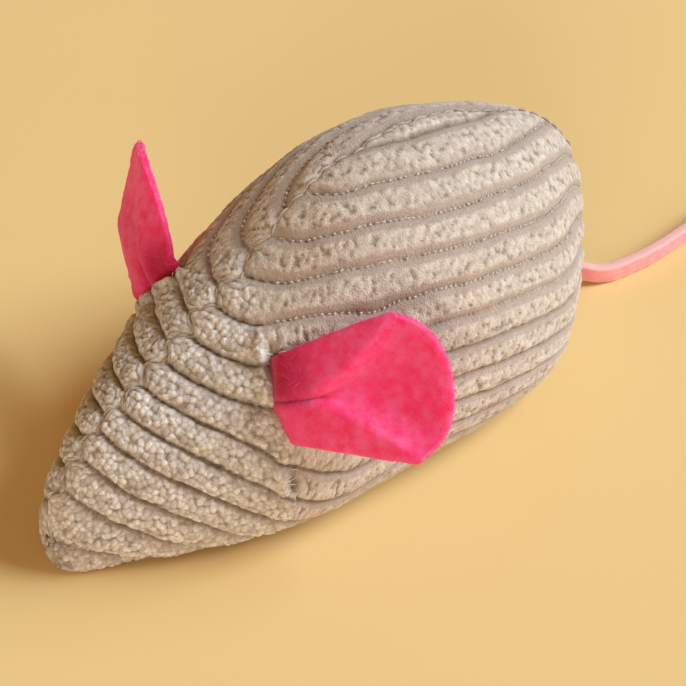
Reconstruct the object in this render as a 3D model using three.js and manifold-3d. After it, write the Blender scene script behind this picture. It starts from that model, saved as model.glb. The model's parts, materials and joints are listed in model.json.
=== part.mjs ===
// Catnip mouse: a stuffed corduroy body of two side panels and a base panel, with pleated felt ears and a
// suede lace for a tail. Millimetres, +Z up. The nose points to -Y, the tail to +Y and the left side to +X.
// The origin is on the floor, under the middle of the body.
import * as THREE from 'three';
import { mergeVertices } from 'three/addons/utils/BufferGeometryUtils.js';
import Module from 'manifold-3d';

// Gap kept between pieces that touch
const CLEARANCE = 0.3;

// Body
const BODY_LENGTH = 85;
const BODY_WIDTH = 40.2;
const BODY_HEIGHT = 39.6;
const NOSE_TIP_HEIGHT = 4.5;
const RUMP_TIP_HEIGHT = 16.5;
const CORDUROY = 1.8;
const REST_FLAT = 0.5; // depth of the flat that the filled base is pressed to where it rests

// Shape of the body at even steps from nose to rump: half widths and top heights as shares of the largest
const WIDTH_SHARES = [0, 0.22, 0.42, 0.71, 0.935, 0.985, 1, 0.845, 0.51, 0.23, 0];
const TOP_SHARES = [0.126, 0.265, 0.437, 0.576, 0.757, 0.96, 1, 0.922, 0.808, 0.631, 0.43];
const WIDEST_SHARE = 0.32; // height of the widest level in a section
const CROWN_POWER = 1.19; // above 1 draws the back in to a ridge
const BELLY_POWER = 0.5; // below 1 squares the belly
const NOSE_UNDERCUT = 0.07; // share of the steps over which the belly rises to the nose
const RUMP_UNDERCUT = 0.2; // share of the steps over which the belly rises to the rump
const BODY_STEPS = 28;
const BODY_SIDES = 24;

// Base panel, set in between the side panels
const BASE_SHARE = 0.68; // share of the body's half width
const BASE_FRONT_STEP = 0.12;
const BASE_BACK_STEP = 0.84;
const BASE_STEPS = 16;

// Seams
const THREAD = 0.6;
const SPINE_FRONT_STEP = 0.04;
const SPINE_BACK_STEP = 0.97;
const SEAM_STEPS = 40;
const STITCH_THREAD = 0.5;
const STITCHES = 6;
const STITCH_REACH = 1.2; // how far a stitch runs over the panel, ahead of the ear

// Filling
const CATNIP_LENGTH = 22;
const CATNIP_WIDTH = 16;
const CATNIP_HEIGHT = 12;
const CATNIP_FROM_NOSE = 47;
const CATNIP_MIDDLE = 16; // height of the middle of the lump

// Ears, cut from felt and pinched at the base into a pleat with two ridges and a bowl between them
const FELT = 1.2;
const LEFT_EAR_LENGTH = 19.8; // the ears are cut by hand, so they differ a little
const LEFT_EAR_WIDTH = 18.3;
const RIGHT_EAR_LENGTH = 17.6;
const RIGHT_EAR_WIDTH = 17.3;
const EAR_BASE = 10;
const EAR_CORNER = 15.6; // from the base to the two corners, where the ridges end
const EAR_HANG = 0.5; // how far the corners' middle lies below the base's middle
const RIM_POWER = 0.8; // below 1 fills the round rim between the corners
const PLEAT_CLOSED = 3; // length over which the two ridges lie together
const PLEAT_CURVE = 1.3; // above 1 spreads the ridges late
const RIDGE_FALL = 1.2; // from the base to the tip
const WING_DROP = 2.4; // from the ridges to the side edges at the base
const LEFT_BOWL_DEPTH = 2.6;
const RIGHT_BOWL_DEPTH = 1.5;
const BOWL_TURN = 0.85; // share of half a wave that the bowl's depth follows from the base to the rim
const LEAST_RIDGE = 0.06; // the ridges' distance apart as a share of the width, at the base and at the rim
const MOST_RIDGE = 0.94;
const EAR_TOP_FROM_NOSE = 27;
const EAR_TOP_ANGLE = 52.6; // round the section, from the widest level up
const EAR_LOW_FROM_NOSE = 24.8;
const EAR_LOW_ANGLE = 25.8;
const LEFT_EAR_LIFT = 18; // angle from the body's side
const RIGHT_EAR_LIFT = 38;
const LEFT_EAR_TWIST = 0;
const RIGHT_EAR_TWIST = 15;
const EAR_ROWS = 12;
const EAR_COLUMNS = 16;
const FOLDED_SHARE = 0.3; // up to here the folds are tighter than the felt is thick, from there on they open
const OPEN_SHARE = 0.6;
const LEFT_EAR = {
  lift: LEFT_EAR_LIFT,
  twist: LEFT_EAR_TWIST,
  length: LEFT_EAR_LENGTH,
  width: LEFT_EAR_WIDTH,
  bowl: LEFT_BOWL_DEPTH,
};
const RIGHT_EAR = {
  lift: RIGHT_EAR_LIFT,
  twist: RIGHT_EAR_TWIST,
  length: RIGHT_EAR_LENGTH,
  width: RIGHT_EAR_WIDTH,
  bowl: RIGHT_BOWL_DEPTH,
};

// Tail, a flat lace standing on its edge: a root that swings at the seam, and the free lace
const LACE_WIDTH = 2.6;
const LACE_THICKNESS = 1.6;
const LACE_CORNER = 0.4;
const FLOOR_GAP = 0.05; // left under the lace
const LACE_FLOOR = LACE_WIDTH / 2 + FLOOR_GAP; // height of the middle of the lace on the floor
const TAIL_EXIT_HEIGHT = 2.6;
const ROOT_ROUTE = [[0, 0], [1.1, 1.5], [2.1, 3.1], [2.85, 5]]; // from the exit, along X and Y
const LACE_ROUTE = [[2.95, 5.3], [3.4, 8.6], [3.6, 12], [3.45, 16], [3, 20.5], [2.4, 25], [2.1, 29]];
const CURL_RADIUS = 14.5;
const CURL_END_RADIUS = 8.5;
const CURL_TURN = 330; // degrees that the free end curls round
const CURL_STEPS = 22;
const LACE_STEP = 4.5; // length of one straight stretch of the lace's solid

const wasm = await Module();
wasm.setup();

// A closed geometry as a solid that can be joined and cut
function toSolid(geometry) {
  const bare = geometry.clone();
  bare.deleteAttribute('normal');
  bare.deleteAttribute('uv');
  const merged = mergeVertices(bare, 1e-4);
  return new wasm.Manifold(new wasm.Mesh({
    numProp: 3,
    vertProperties: new Float32Array(merged.attributes.position.array),
    triVerts: new Uint32Array(merged.index.array),
  }));
}

function toGeometry(solid) {
  const mesh = solid.getMesh();
  const geometry = new THREE.BufferGeometry();
  geometry.setAttribute('position', new THREE.BufferAttribute(mesh.vertProperties, 3));
  geometry.setIndex(new THREE.BufferAttribute(mesh.triVerts, 1));
  return geometry;
}

function fromPoints(points, triangles) {
  const geometry = new THREE.BufferGeometry().setFromPoints(points);
  geometry.setIndex(triangles);
  geometry.computeVertexNormals();
  return geometry;
}

function boxBetween(low, high) {
  const size = new THREE.Vector3().subVectors(high, low);
  const middle = new THREE.Vector3().addVectors(low, high).multiplyScalar(0.5);
  return toSolid(new THREE.BoxGeometry(size.x, size.y, size.z).translate(middle.x, middle.y, middle.z));
}

// A tube along points, with a section given as a list of corners
function tube(points, section, steps) {
  const options = { steps, extrudePath: new THREE.CatmullRomCurve3(points), bevelEnabled: false };
  return new THREE.ExtrudeGeometry(new THREE.Shape(section), options);
}

function roundSection(diameter, sides) {
  const corners = [];
  for (let i = 0; i < sides; i += 1) {
    const turn = (i / sides) * 2 * Math.PI;
    corners.push(new THREE.Vector2(Math.cos(turn), Math.sin(turn)).multiplyScalar(diameter / 2));
  }
  return corners;
}

// Body form: a step of 0 is the nose tip and 1 the rump tip
function stationCurve(shares) {
  return new THREE.SplineCurve(shares.map((share, i) => new THREE.Vector2(i, share)));
}

const widthCurve = stationCurve(WIDTH_SHARES);
const topCurve = stationCurve(TOP_SHARES);

function stepAt(fromNose) {
  return Math.acos(1 - (2 * fromNose) / BODY_LENGTH) / Math.PI;
}

function lengthAt(step) {
  return (-BODY_LENGTH / 2) * Math.cos(Math.PI * step);
}

function sectionAt(step) {
  const rise = Math.min(1, step / NOSE_UNDERCUT, (1 - step) / RUMP_UNDERCUT);
  const tip = step < 0.5 ? NOSE_TIP_HEIGHT : RUMP_TIP_HEIGHT;
  const bottom = (1 - Math.sqrt(Math.max(0, 1 - (1 - rise) ** 2))) * (tip + REST_FLAT) - REST_FLAT;
  const top = topCurve.getPoint(step).y * (BODY_HEIGHT + REST_FLAT) - REST_FLAT;
  return {
    halfWidth: Math.max(0, widthCurve.getPoint(step).y) * (BODY_WIDTH / 2),
    bottom,
    top,
    widest: bottom + (top - bottom) * WIDEST_SHARE,
  };
}

// A point of the body's surface: the angle is 0 at the widest level on the left and 90 degrees on the spine
function bodyPoint(step, degrees) {
  const { halfWidth, bottom, top, widest } = sectionAt(step);
  const angle = THREE.MathUtils.degToRad(degrees);
  const across = Math.cos(angle);
  const up = Math.sin(angle);
  const power = up > 0 ? CROWN_POWER : BELLY_POWER;
  const x = Math.sign(across) * Math.abs(across) ** power * halfWidth;
  const z = widest + (up > 0 ? top - widest : widest - bottom) * up;
  return new THREE.Vector3(x, lengthAt(step), z);
}

function bodyNormal(step, degrees) {
  const nudge = 0.004;
  const turn = 1.5;
  const ahead = bodyPoint(Math.max(0, step - nudge), degrees);
  const along = bodyPoint(Math.min(1, step + nudge), degrees).sub(ahead);
  const round = bodyPoint(step, degrees + turn).sub(bodyPoint(step, degrees - turn));
  return along.cross(round).normalize();
}

function bodyGeometry() {
  const points = [bodyPoint(0, 90)];
  for (let i = 1; i < BODY_STEPS; i += 1) {
    for (let j = 0; j < BODY_SIDES; j += 1) {
      points.push(bodyPoint(i / BODY_STEPS, -90 + (j / BODY_SIDES) * 360));
    }
  }
  points.push(bodyPoint(1, 90));
  const last = points.length - 1;
  const at = (i, j) => 1 + (i - 1) * BODY_SIDES + (j % BODY_SIDES);
  const triangles = [];
  for (let j = 0; j < BODY_SIDES; j += 1) {
    triangles.push(0, at(1, j), at(1, j + 1));
    triangles.push(last, at(BODY_STEPS - 1, j + 1), at(BODY_STEPS - 1, j));
    for (let i = 1; i < BODY_STEPS - 1; i += 1) {
      triangles.push(at(i, j), at(i + 1, j), at(i, j + 1));
      triangles.push(at(i, j + 1), at(i + 1, j), at(i + 1, j + 1));
    }
  }
  return fromPoints(points, triangles);
}

// The body's form drawn in by a depth, along its own normals
function bodySolid(depth) {
  const geometry = bodyGeometry();
  const { position, normal } = geometry.attributes;
  for (let i = 0; i < position.count; i += 1) {
    position.setXYZ(
      i,
      position.getX(i) - normal.getX(i) * depth,
      position.getY(i) - normal.getY(i) * depth,
      position.getZ(i) - normal.getZ(i) * depth,
    );
  }
  return toSolid(geometry);
}

const reach = BODY_LENGTH + BODY_WIDTH + BODY_HEIGHT;
const seamSlot = THREAD / 2 + CLEARANCE;
const lowCorner = new THREE.Vector3(-reach, -reach, 0);
const highCorner = new THREE.Vector3(reach, reach, reach);
const aboveFloor = boxBetween(lowCorner, highCorner);

// Cloth shell of the body, pressed flat where it rests
const innerForm = bodySolid(CORDUROY);
const aboveBase = boxBetween(new THREE.Vector3(-reach, -reach, CORDUROY), highCorner);
const shell = bodySolid(0).intersect(aboveFloor).subtract(innerForm.intersect(aboveBase));

// Left edge of the base in plan, moved outward by a margin, at the cloth's outer face
function baseEdge(margin) {
  const edge = [];
  const angle = -THREE.MathUtils.radToDeg(Math.acos(BASE_SHARE ** (1 / BELLY_POWER)));
  const onForm = (step) => bodyPoint(step, angle);
  for (let i = 0; i <= BASE_STEPS; i += 1) {
    const step = BASE_FRONT_STEP + ((BASE_BACK_STEP - BASE_FRONT_STEP) * i) / BASE_STEPS;
    const nudge = 0.01;
    const along = onForm(step + nudge).sub(onForm(step - nudge));
    const outward = new THREE.Vector3(along.y, -along.x, 0).normalize();
    edge.push(onForm(step).addScaledVector(outward, margin));
  }
  edge[0].y = lengthAt(BASE_FRONT_STEP) - margin;
  edge[BASE_STEPS].y = lengthAt(BASE_BACK_STEP) + margin;
  return edge;
}

function baseOutline(margin) {
  const left = baseEdge(margin).map((p) => new THREE.Vector2(p.x, p.y));
  const right = left.map((p) => new THREE.Vector2(-p.x, p.y)).reverse();
  return left.concat(right);
}

function baseCutter(margin) {
  const below = 1;
  const options = { depth: CORDUROY * 2 + below, bevelEnabled: false };
  const cutter = new THREE.ExtrudeGeometry(new THREE.Shape(baseOutline(margin)), options);
  return toSolid(cutter.translate(0, 0, -below));
}

function sidePanel(side) {
  const edge = boxBetween(
    new THREE.Vector3(side > 0 ? seamSlot : -reach, -reach, -reach),
    new THREE.Vector3(side > 0 ? reach : -seamSlot, reach, reach),
  );
  return toGeometry(shell.subtract(baseCutter(seamSlot)).intersect(edge));
}

function basePanel() {
  return toGeometry(shell.intersect(baseCutter(-seamSlot)));
}

// Filling: two handfuls of fibre with a lump of dried catnip between them
const catnipY = CATNIP_FROM_NOSE - BODY_LENGTH / 2;

function catnipLump(margin) {
  const lump = new THREE.SphereGeometry(1, 16, 10);
  lump.scale(CATNIP_WIDTH / 2 + margin, CATNIP_LENGTH / 2 + margin, CATNIP_HEIGHT / 2 + margin);
  return lump.translate(0, catnipY, CATNIP_MIDDLE);
}

function stuffing(toNose) {
  const edge = CLEARANCE / 2;
  const fill = bodySolid(CORDUROY + CLEARANCE).subtract(toSolid(catnipLump(CLEARANCE)));
  const half = boxBetween(
    new THREE.Vector3(-reach, toNose ? -reach : catnipY + edge, CORDUROY + CLEARANCE),
    new THREE.Vector3(reach, toNose ? catnipY - edge : reach, reach),
  );
  return toGeometry(fill.intersect(half));
}

// Seam threads run in the slots between the panels, at the middle of the cloth
function spineThread() {
  const points = [];
  for (let i = 0; i <= SEAM_STEPS; i += 1) {
    const step = SPINE_FRONT_STEP + ((SPINE_BACK_STEP - SPINE_FRONT_STEP) * i) / SEAM_STEPS;
    points.push(bodyPoint(step, 90).addScaledVector(bodyNormal(step, 90), -CORDUROY / 2).setX(0));
  }
  return tube(points, roundSection(THREAD, 6), SEAM_STEPS);
}

function baseThread() {
  const points = baseEdge(0).map((p) => p.setZ(Math.max(p.z, 0) + CORDUROY / 2));
  return tube(points, roundSection(THREAD, 6), BASE_STEPS * 2);
}

// Ear frame: along runs from base to tip, across runs up the base line and out is off the felt's face.
// The origin is on the line that the ear hinges on, at the height where the base's edges meet the panel.
function earFrame(lift) {
  const topStep = stepAt(EAR_TOP_FROM_NOSE);
  const lowStep = stepAt(EAR_LOW_FROM_NOSE);
  const top = bodyPoint(topStep, EAR_TOP_ANGLE);
  const low = bodyPoint(lowStep, EAR_LOW_ANGLE);
  const across = new THREE.Vector3().subVectors(top, low).normalize();
  const normal = bodyNormal((topStep + lowStep) / 2, (EAR_TOP_ANGLE + EAR_LOW_ANGLE) / 2);
  const flat = new THREE.Vector3().crossVectors(across, normal).normalize();
  const off = new THREE.Vector3().crossVectors(flat, across).normalize();
  const angle = THREE.MathUtils.degToRad(lift);
  const height = CLEARANCE + ((FELT + WING_DROP) / 2) * Math.cos(angle);
  return {
    origin: top.add(low).multiplyScalar(0.5).addScaledVector(off, height),
    across,
    along: flat.clone().multiplyScalar(Math.cos(angle)).addScaledVector(off, Math.sin(angle)),
    out: off.clone().multiplyScalar(Math.cos(angle)).addScaledVector(flat, -Math.sin(angle)),
  };
}

// Distance from the base, with rows that bow out to the round rim; an edge share runs from -1 to 1
function earAlong(ear, toTip, edgeShare) {
  const bow = (1 - edgeShare ** 2) ** RIM_POWER;
  return toTip * (EAR_CORNER + (ear.length - EAR_CORNER) * bow);
}

// Where a row meets the ridges, as an edge share: it follows from the distance along, which follows from it
function ridgeShare(ear, toTip) {
  let share = LEAST_RIDGE;
  const rounds = 6;
  for (let i = 0; i < rounds; i += 1) {
    const opened = (earAlong(ear, toTip, share) - PLEAT_CLOSED) / (EAR_CORNER - PLEAT_CLOSED);
    const spread = THREE.MathUtils.clamp(opened, 0, 1) ** PLEAT_CURVE;
    share = THREE.MathUtils.clamp((share + spread) / 2, LEAST_RIDGE, MOST_RIDGE);
  }
  return share;
}

// A point of the felt's middle surface. Columns run from -1 to 1, and the ridges follow those at a half.
function earPoint(frame, ear, toTip, column) {
  const ridge = ridgeShare(ear, toTip);
  const inBowl = Math.abs(column) * 2;
  const edgeShare = inBowl < 1 ? ridge * inBowl : ridge + (1 - ridge) * (inBowl - 1);
  const along = earAlong(ear, toTip, edgeShare);
  const opened = Math.min(1, along / EAR_CORNER);
  const halfWidth = THREE.MathUtils.lerp(EAR_BASE, ear.width, opened) / 2;
  const across = Math.sign(column) * edgeShare * halfWidth - EAR_HANG * opened;
  const bowl = ear.bowl * Math.sin(Math.PI * BOWL_TURN * ridge) * Math.max(0, 1 - inBowl ** 2);
  const wing = WING_DROP * Math.max(0, edgeShare - ridge);
  const out = WING_DROP / 2 - RIDGE_FALL * toTip - bowl - wing;
  const turn = THREE.MathUtils.degToRad(ear.twist) * toTip;
  return frame.origin.clone()
    .addScaledVector(frame.along, along)
    .addScaledVector(frame.across, across * Math.cos(turn) - out * Math.sin(turn))
    .addScaledVector(frame.out, out * Math.cos(turn) + across * Math.sin(turn));
}

// A felt sheet: the middle surface thickened to both sides and closed round its rim. In the closed pleat it is
// thickened straight out of the ear's plane, so that the tight folds don't run through each other.
function earGeometry(ear) {
  const frame = earFrame(ear.lift);
  const width = EAR_COLUMNS + 1;
  const points = [];
  for (let i = 0; i <= EAR_ROWS; i += 1) {
    for (let j = 0; j <= EAR_COLUMNS; j += 1) {
      points.push(earPoint(frame, ear, i / EAR_ROWS, (2 * j) / EAR_COLUMNS - 1));
    }
  }
  const face = [];
  for (let i = 0; i < EAR_ROWS; i += 1) {
    for (let j = 0; j < EAR_COLUMNS; j += 1) {
      const a = i * width + j;
      face.push(a, a + width, a + 1, a + 1, a + width, a + width + 1);
    }
  }
  const { normal } = fromPoints(points, face).attributes;
  const count = points.length;
  const normalAt = (i) => {
    const toTip = Math.floor(i / width) / EAR_ROWS;
    const open = THREE.MathUtils.smoothstep(toTip, FOLDED_SHARE, OPEN_SHARE);
    return frame.out.clone().lerp(new THREE.Vector3().fromBufferAttribute(normal, i), open).normalize();
  };
  const outer = points.map((p, i) => p.clone().addScaledVector(normalAt(i), FELT / 2));
  const inner = points.map((p, i) => p.clone().addScaledVector(normalAt(i), -FELT / 2));
  const rim = [];
  for (let j = 0; j < EAR_COLUMNS; j += 1) {
    rim.push(j);
  }
  for (let i = 0; i < EAR_ROWS; i += 1) {
    rim.push(i * width + EAR_COLUMNS);
  }
  for (let j = EAR_COLUMNS; j > 0; j -= 1) {
    rim.push(EAR_ROWS * width + j);
  }
  for (let i = EAR_ROWS; i > 0; i -= 1) {
    rim.push(i * width);
  }
  const triangles = [...face];
  for (let k = 0; k < face.length; k += 3) {
    triangles.push(face[k] + count, face[k + 2] + count, face[k + 1] + count);
  }
  rim.forEach((a, k) => {
    const b = rim[(k + 1) % rim.length];
    triangles.push(a, b, a + count, b, b + count, a + count);
  });
  return fromPoints(outer.concat(inner), triangles);
}

// Zigzag stitches over the panel just ahead of the ear's base
function earStitches() {
  const points = [];
  const height = CLEARANCE + STITCH_THREAD / 2;
  for (let i = 0; i <= STITCHES * 2; i += 1) {
    const share = i / (STITCHES * 2);
    const ahead = CLEARANCE + STITCH_THREAD + (i % 2) * STITCH_REACH;
    const fromNose = EAR_LOW_FROM_NOSE + (EAR_TOP_FROM_NOSE - EAR_LOW_FROM_NOSE) * share - ahead;
    const angle = EAR_LOW_ANGLE + (EAR_TOP_ANGLE - EAR_LOW_ANGLE) * share;
    const step = stepAt(fromNose);
    points.push(bodyPoint(step, angle).addScaledVector(bodyNormal(step, angle), height));
  }
  return tube(points, roundSection(STITCH_THREAD, 6), STITCHES * 6);
}

// A piece for the right side is the left one mirrored, with its faces turned back out
function mirrored(geometry) {
  const flipped = mergeVertices(geometry).scale(-1, 1, 1);
  const { array } = flipped.index;
  for (let k = 0; k < array.length; k += 3) {
    [array[k + 1], array[k + 2]] = [array[k + 2], array[k + 1]];
  }
  return flipped;
}

// Tail lace
function laceSection() {
  const halfWidth = LACE_WIDTH / 2;
  const half = LACE_THICKNESS / 2;
  const cut = LACE_CORNER;
  const corners = [
    [halfWidth - cut, -half], [halfWidth, cut - half], [halfWidth, half - cut], [halfWidth - cut, half],
    [cut - halfWidth, half], [-halfWidth, half - cut], [-halfWidth, cut - half], [cut - halfWidth, -half],
  ];
  return corners.map(([x, y]) => new THREE.Vector2(x, y));
}

// Where the underside of the rump reaches a height
function rumpUnderside(height) {
  const share = (height + REST_FLAT) / (RUMP_TIP_HEIGHT + REST_FLAT);
  const rise = 1 - Math.sqrt(1 - (1 - share) ** 2);
  return lengthAt(1 - rise * RUMP_UNDERCUT);
}

const exitY = rumpUnderside(TAIL_EXIT_HEIGHT + LACE_WIDTH / 2) + CLEARANCE + LACE_THICKNESS / 2;
const tailExit = new THREE.Vector3(0, exitY, TAIL_EXIT_HEIGHT);

function rootPoints() {
  const drop = TAIL_EXIT_HEIGHT - LACE_FLOOR;
  const last = ROOT_ROUTE.length - 1;
  return ROOT_ROUTE.map(([x, y], i) => {
    const fall = drop * THREE.MathUtils.smoothstep(i, 0, last);
    return new THREE.Vector3(x, y, -fall).add(tailExit);
  });
}

function lacePoints() {
  const points = LACE_ROUTE.map(([x, y]) => new THREE.Vector3(x, y, LACE_FLOOR - TAIL_EXIT_HEIGHT));
  const [startX, startY] = LACE_ROUTE[LACE_ROUTE.length - 1];
  for (let i = 1; i <= CURL_STEPS; i += 1) {
    const share = i / CURL_STEPS;
    const turn = THREE.MathUtils.degToRad(180 - CURL_TURN * share);
    const radius = CURL_RADIUS + (CURL_END_RADIUS - CURL_RADIUS) * share;
    const x = startX + CURL_RADIUS + radius * Math.cos(turn);
    const y = startY + radius * Math.sin(turn);
    points.push(new THREE.Vector3(x, y, LACE_FLOOR - TAIL_EXIT_HEIGHT));
  }
  return points.map((p) => p.add(tailExit));
}

function laceGeometry(points) {
  const steps = Math.ceil(new THREE.CatmullRomCurve3(points).getLength() / LACE_STEP);
  return tube(points, laceSection(), Math.max(steps, points.length));
}

// The root's inner end is round about the upright axis that the tail swings on
function tailRoot() {
  const radius = LACE_THICKNESS / 2;
  const end = new THREE.CylinderGeometry(radius, radius, LACE_WIDTH - LACE_CORNER * 2, 12);
  end.rotateX(Math.PI / 2).translate(tailExit.x, tailExit.y, tailExit.z);
  return toGeometry(toSolid(laceGeometry(rootPoints())).add(toSolid(end)));
}

const mouse = new THREE.Group();
mouse.name = 'catnip_mouse';

function addPiece(name, geometry, color, roughness) {
  const mesh = new THREE.Mesh(geometry, new THREE.MeshStandardMaterial({ color, roughness, metalness: 0 }));
  mesh.name = name;
  mouse.add(mesh);
}

addPiece('left_side_panel', sidePanel(1), 0xcdb9a5, 0.95);
addPiece('right_side_panel', sidePanel(-1), 0xcdb9a5, 0.95);
addPiece('base_panel', basePanel(), 0xc4af9a, 0.95);
addPiece('head_stuffing', stuffing(true), 0xf4f1ea, 1);
addPiece('rump_stuffing', stuffing(false), 0xf4f1ea, 1);
addPiece('dried_catnip', catnipLump(0), 0x7d8a4e, 1);
addPiece('spine_seam_thread', spineThread(), 0xb9a793, 0.7);
addPiece('left_base_seam_thread', baseThread(), 0xb9a793, 0.7);
addPiece('right_base_seam_thread', mirrored(baseThread()), 0xb9a793, 0.7);
addPiece('left_ear', earGeometry(LEFT_EAR), 0xf03c64, 0.9);
addPiece('right_ear', mirrored(earGeometry(RIGHT_EAR)), 0xf03c64, 0.9);
addPiece('left_ear_stitches', earStitches(), 0xe9e4dc, 0.6);
addPiece('right_ear_stitches', mirrored(earStitches()), 0xe9e4dc, 0.6);
addPiece('tail_root', tailRoot(), 0xf5aaa5, 0.85);
addPiece('tail_lace', laceGeometry(lacePoints()), 0xf5aaa5, 0.85);

export default mouse;
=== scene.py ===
# %% [markdown]
# # A catnip mouse in corduroy and felt
# The toy is a stuffed mouse about 85 mm long: two side panels and a base of wide-wale corduroy, two
# pleated felt ears and a suede lace for a tail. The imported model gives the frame, in metres, and this
# script dresses it. Lengths below are in millimetres, as a sewer would measure them, and turn into metres
# where a mesh is made.

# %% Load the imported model
import json
import math

import bmesh
import bpy
import numpy as np
from mathutils import Matrix, Vector, noise


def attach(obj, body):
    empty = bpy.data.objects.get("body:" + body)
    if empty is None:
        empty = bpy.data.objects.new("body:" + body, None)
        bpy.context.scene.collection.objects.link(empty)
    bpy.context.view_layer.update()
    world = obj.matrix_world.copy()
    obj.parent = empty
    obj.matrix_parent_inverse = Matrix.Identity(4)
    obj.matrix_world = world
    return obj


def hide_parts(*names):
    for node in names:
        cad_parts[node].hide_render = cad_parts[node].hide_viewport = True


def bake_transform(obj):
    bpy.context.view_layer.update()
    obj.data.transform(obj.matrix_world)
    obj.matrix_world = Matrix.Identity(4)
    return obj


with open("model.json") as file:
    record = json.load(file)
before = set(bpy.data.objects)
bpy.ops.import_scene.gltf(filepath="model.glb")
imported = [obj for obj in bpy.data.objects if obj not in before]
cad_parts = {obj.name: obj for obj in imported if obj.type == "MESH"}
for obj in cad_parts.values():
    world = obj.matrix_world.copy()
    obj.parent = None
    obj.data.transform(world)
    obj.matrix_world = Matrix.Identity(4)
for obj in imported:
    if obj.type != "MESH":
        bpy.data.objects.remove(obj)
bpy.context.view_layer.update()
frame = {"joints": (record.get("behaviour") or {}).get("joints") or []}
joints = {joint["name"]: joint for joint in frame["joints"]}
MM = 0.001
scene = bpy.context.scene

# %% [markdown]
# ## The camera
# The photograph looks down at the mouse's left side from ahead of it. The camera is set by its angles
# round a target, so the view can be checked against the photograph one number at a time.

# %% Camera at the photograph's viewing angle
AZIMUTH = math.radians(53)
ELEVATION = math.radians(40)
ROLL = math.radians(-1.5)
FIELD_OF_VIEW = math.radians(22)
TARGET = Vector((4.2, -0.9, 15)) * MM
DISTANCE = 218 * MM
NEAR_CLIP = 10 * MM

back = Vector((
    math.sin(AZIMUTH) * math.cos(ELEVATION),
    -math.cos(AZIMUTH) * math.cos(ELEVATION),
    math.sin(ELEVATION),
))
level = Vector((math.cos(AZIMUTH), math.sin(AZIMUTH), 0))
upright = back.cross(level)
right = level * math.cos(ROLL) + upright * math.sin(ROLL)
up = upright * math.cos(ROLL) - level * math.sin(ROLL)
camera = bpy.data.objects.new("camera", bpy.data.cameras.new("camera"))
camera.data.angle = FIELD_OF_VIEW
camera.data.clip_start = NEAR_CLIP
camera.matrix_world = Matrix((right, up, back)).transposed().to_4x4()
camera.location = TARGET + back * DISTANCE
scene.collection.objects.link(camera)
scene.camera = camera
print("camera lens:", round(camera.data.lens, 1), "mm")

# %% [markdown]
# ## Small helpers
# A mesh comes from points and faces, and its material from nodes. One function turns a written colour
# into the linear values that Blender reckons with, one makes a mesh, and one adds a node with its
# settings and links.


# %% Colours and nodes
def linear(colour):
    shares = [int(colour[i:i + 2], 16) / 255 for i in (1, 3, 5)]
    curved = [s / 12.92 if s <= 0.04045 else ((s + 0.055) / 1.055) ** 2.4 for s in shares]
    return (*curved, 1)


def add_node(tree, kind, inputs=None, **settings):
    node = tree.nodes.new(kind)
    for name, value in settings.items():
        setattr(node, name, value)
    for key, value in (inputs or {}).items():
        if isinstance(value, bpy.types.NodeSocket):
            tree.links.new(value, node.inputs[key])
        else:
            node.inputs[key].default_value = value
    return node


def new_finish(name):
    material = bpy.data.materials.new(name)
    material.use_nodes = True
    material.node_tree.nodes.clear()
    return material, material.node_tree


print("middle grey in linear values:", round(linear("#808080")[0], 3))


# %% Meshes
def new_piece(name, points, faces, material, measures=None):
    mesh = bpy.data.meshes.new(name)
    mesh.from_pydata((np.asarray(points).reshape(-1, 3) * MM).tolist(), [], faces)
    turned = bmesh.new()
    turned.from_mesh(mesh)
    bmesh.ops.recalc_face_normals(turned, faces=turned.faces)
    turned.to_mesh(mesh)
    turned.free()
    mesh.shade_smooth()
    for label, values in (measures or {}).items():
        attribute = mesh.attributes.new(label, "FLOAT", "POINT")
        attribute.data.foreach_set("value", np.asarray(values, np.float32).ravel())
    mesh.materials.append(material)
    piece = bpy.data.objects.new(name, mesh)
    scene.collection.objects.link(piece)
    print(name, len(mesh.vertices), "points,", len(mesh.polygons), "faces")
    return piece


def grid_faces(rows, columns, first=0, closed=False):
    across = np.arange(columns if closed else columns - 1)
    start = first + np.arange(rows - 1)[:, None] * columns
    a = start + across
    b = start + (across + 1) % columns
    return np.stack([a, a + columns, b + columns, b], axis=-1).reshape(-1, 4).tolist()


def tube_faces(rings, sides, first=0):
    last = first + (rings - 1) * sides
    ends = [list(range(first, first + sides)), list(range(last, last + sides))[::-1]]
    return grid_faces(rings, sides, first, closed=True) + ends


print("a tube of 3 rings of 6 points has", len(tube_faces(3, 6)), "faces")


# %% Numbers and lines
def smooth(low, high, value):
    share = np.clip((value - low) / (high - low), 0, 1)
    return share * share * (3 - 2 * share)


def unit(vectors):
    return vectors / np.linalg.norm(vectors, axis=-1, keepdims=True)


def travelled(points):
    lengths = np.linalg.norm(np.diff(points, axis=0), axis=-1)
    return np.concatenate([np.zeros((1, *lengths.shape[1:])), np.cumsum(lengths, axis=0)])


def at_marks(marks, travel, values):
    return np.column_stack([np.interp(marks, travel, values[:, k]) for k in range(3)])


print("a quarter of the way up a smooth step:", smooth(0, 1, 0.25))

# %% [markdown]
# ## Suede for the tail
# Suede is the flesh side of a split hide, sanded to a short nap. The nap scatters light, so it has no
# gloss and shows soft patches where the fibres lean. A lace is cut 2.6 mm wide, so its patches are a
# millimetre or two, and the dye is paler on the cut edges.

# %% Suede lace finish
NAP_PATCH = 1.6
NAP_FIBRE = 0.22  # real fibres are finer: drawn as coarse as they need to show
NAP_DEPTH = 0.12
NOISE_SPAN = (0.35, 0.65)  # most values of a noise lie between these

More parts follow.
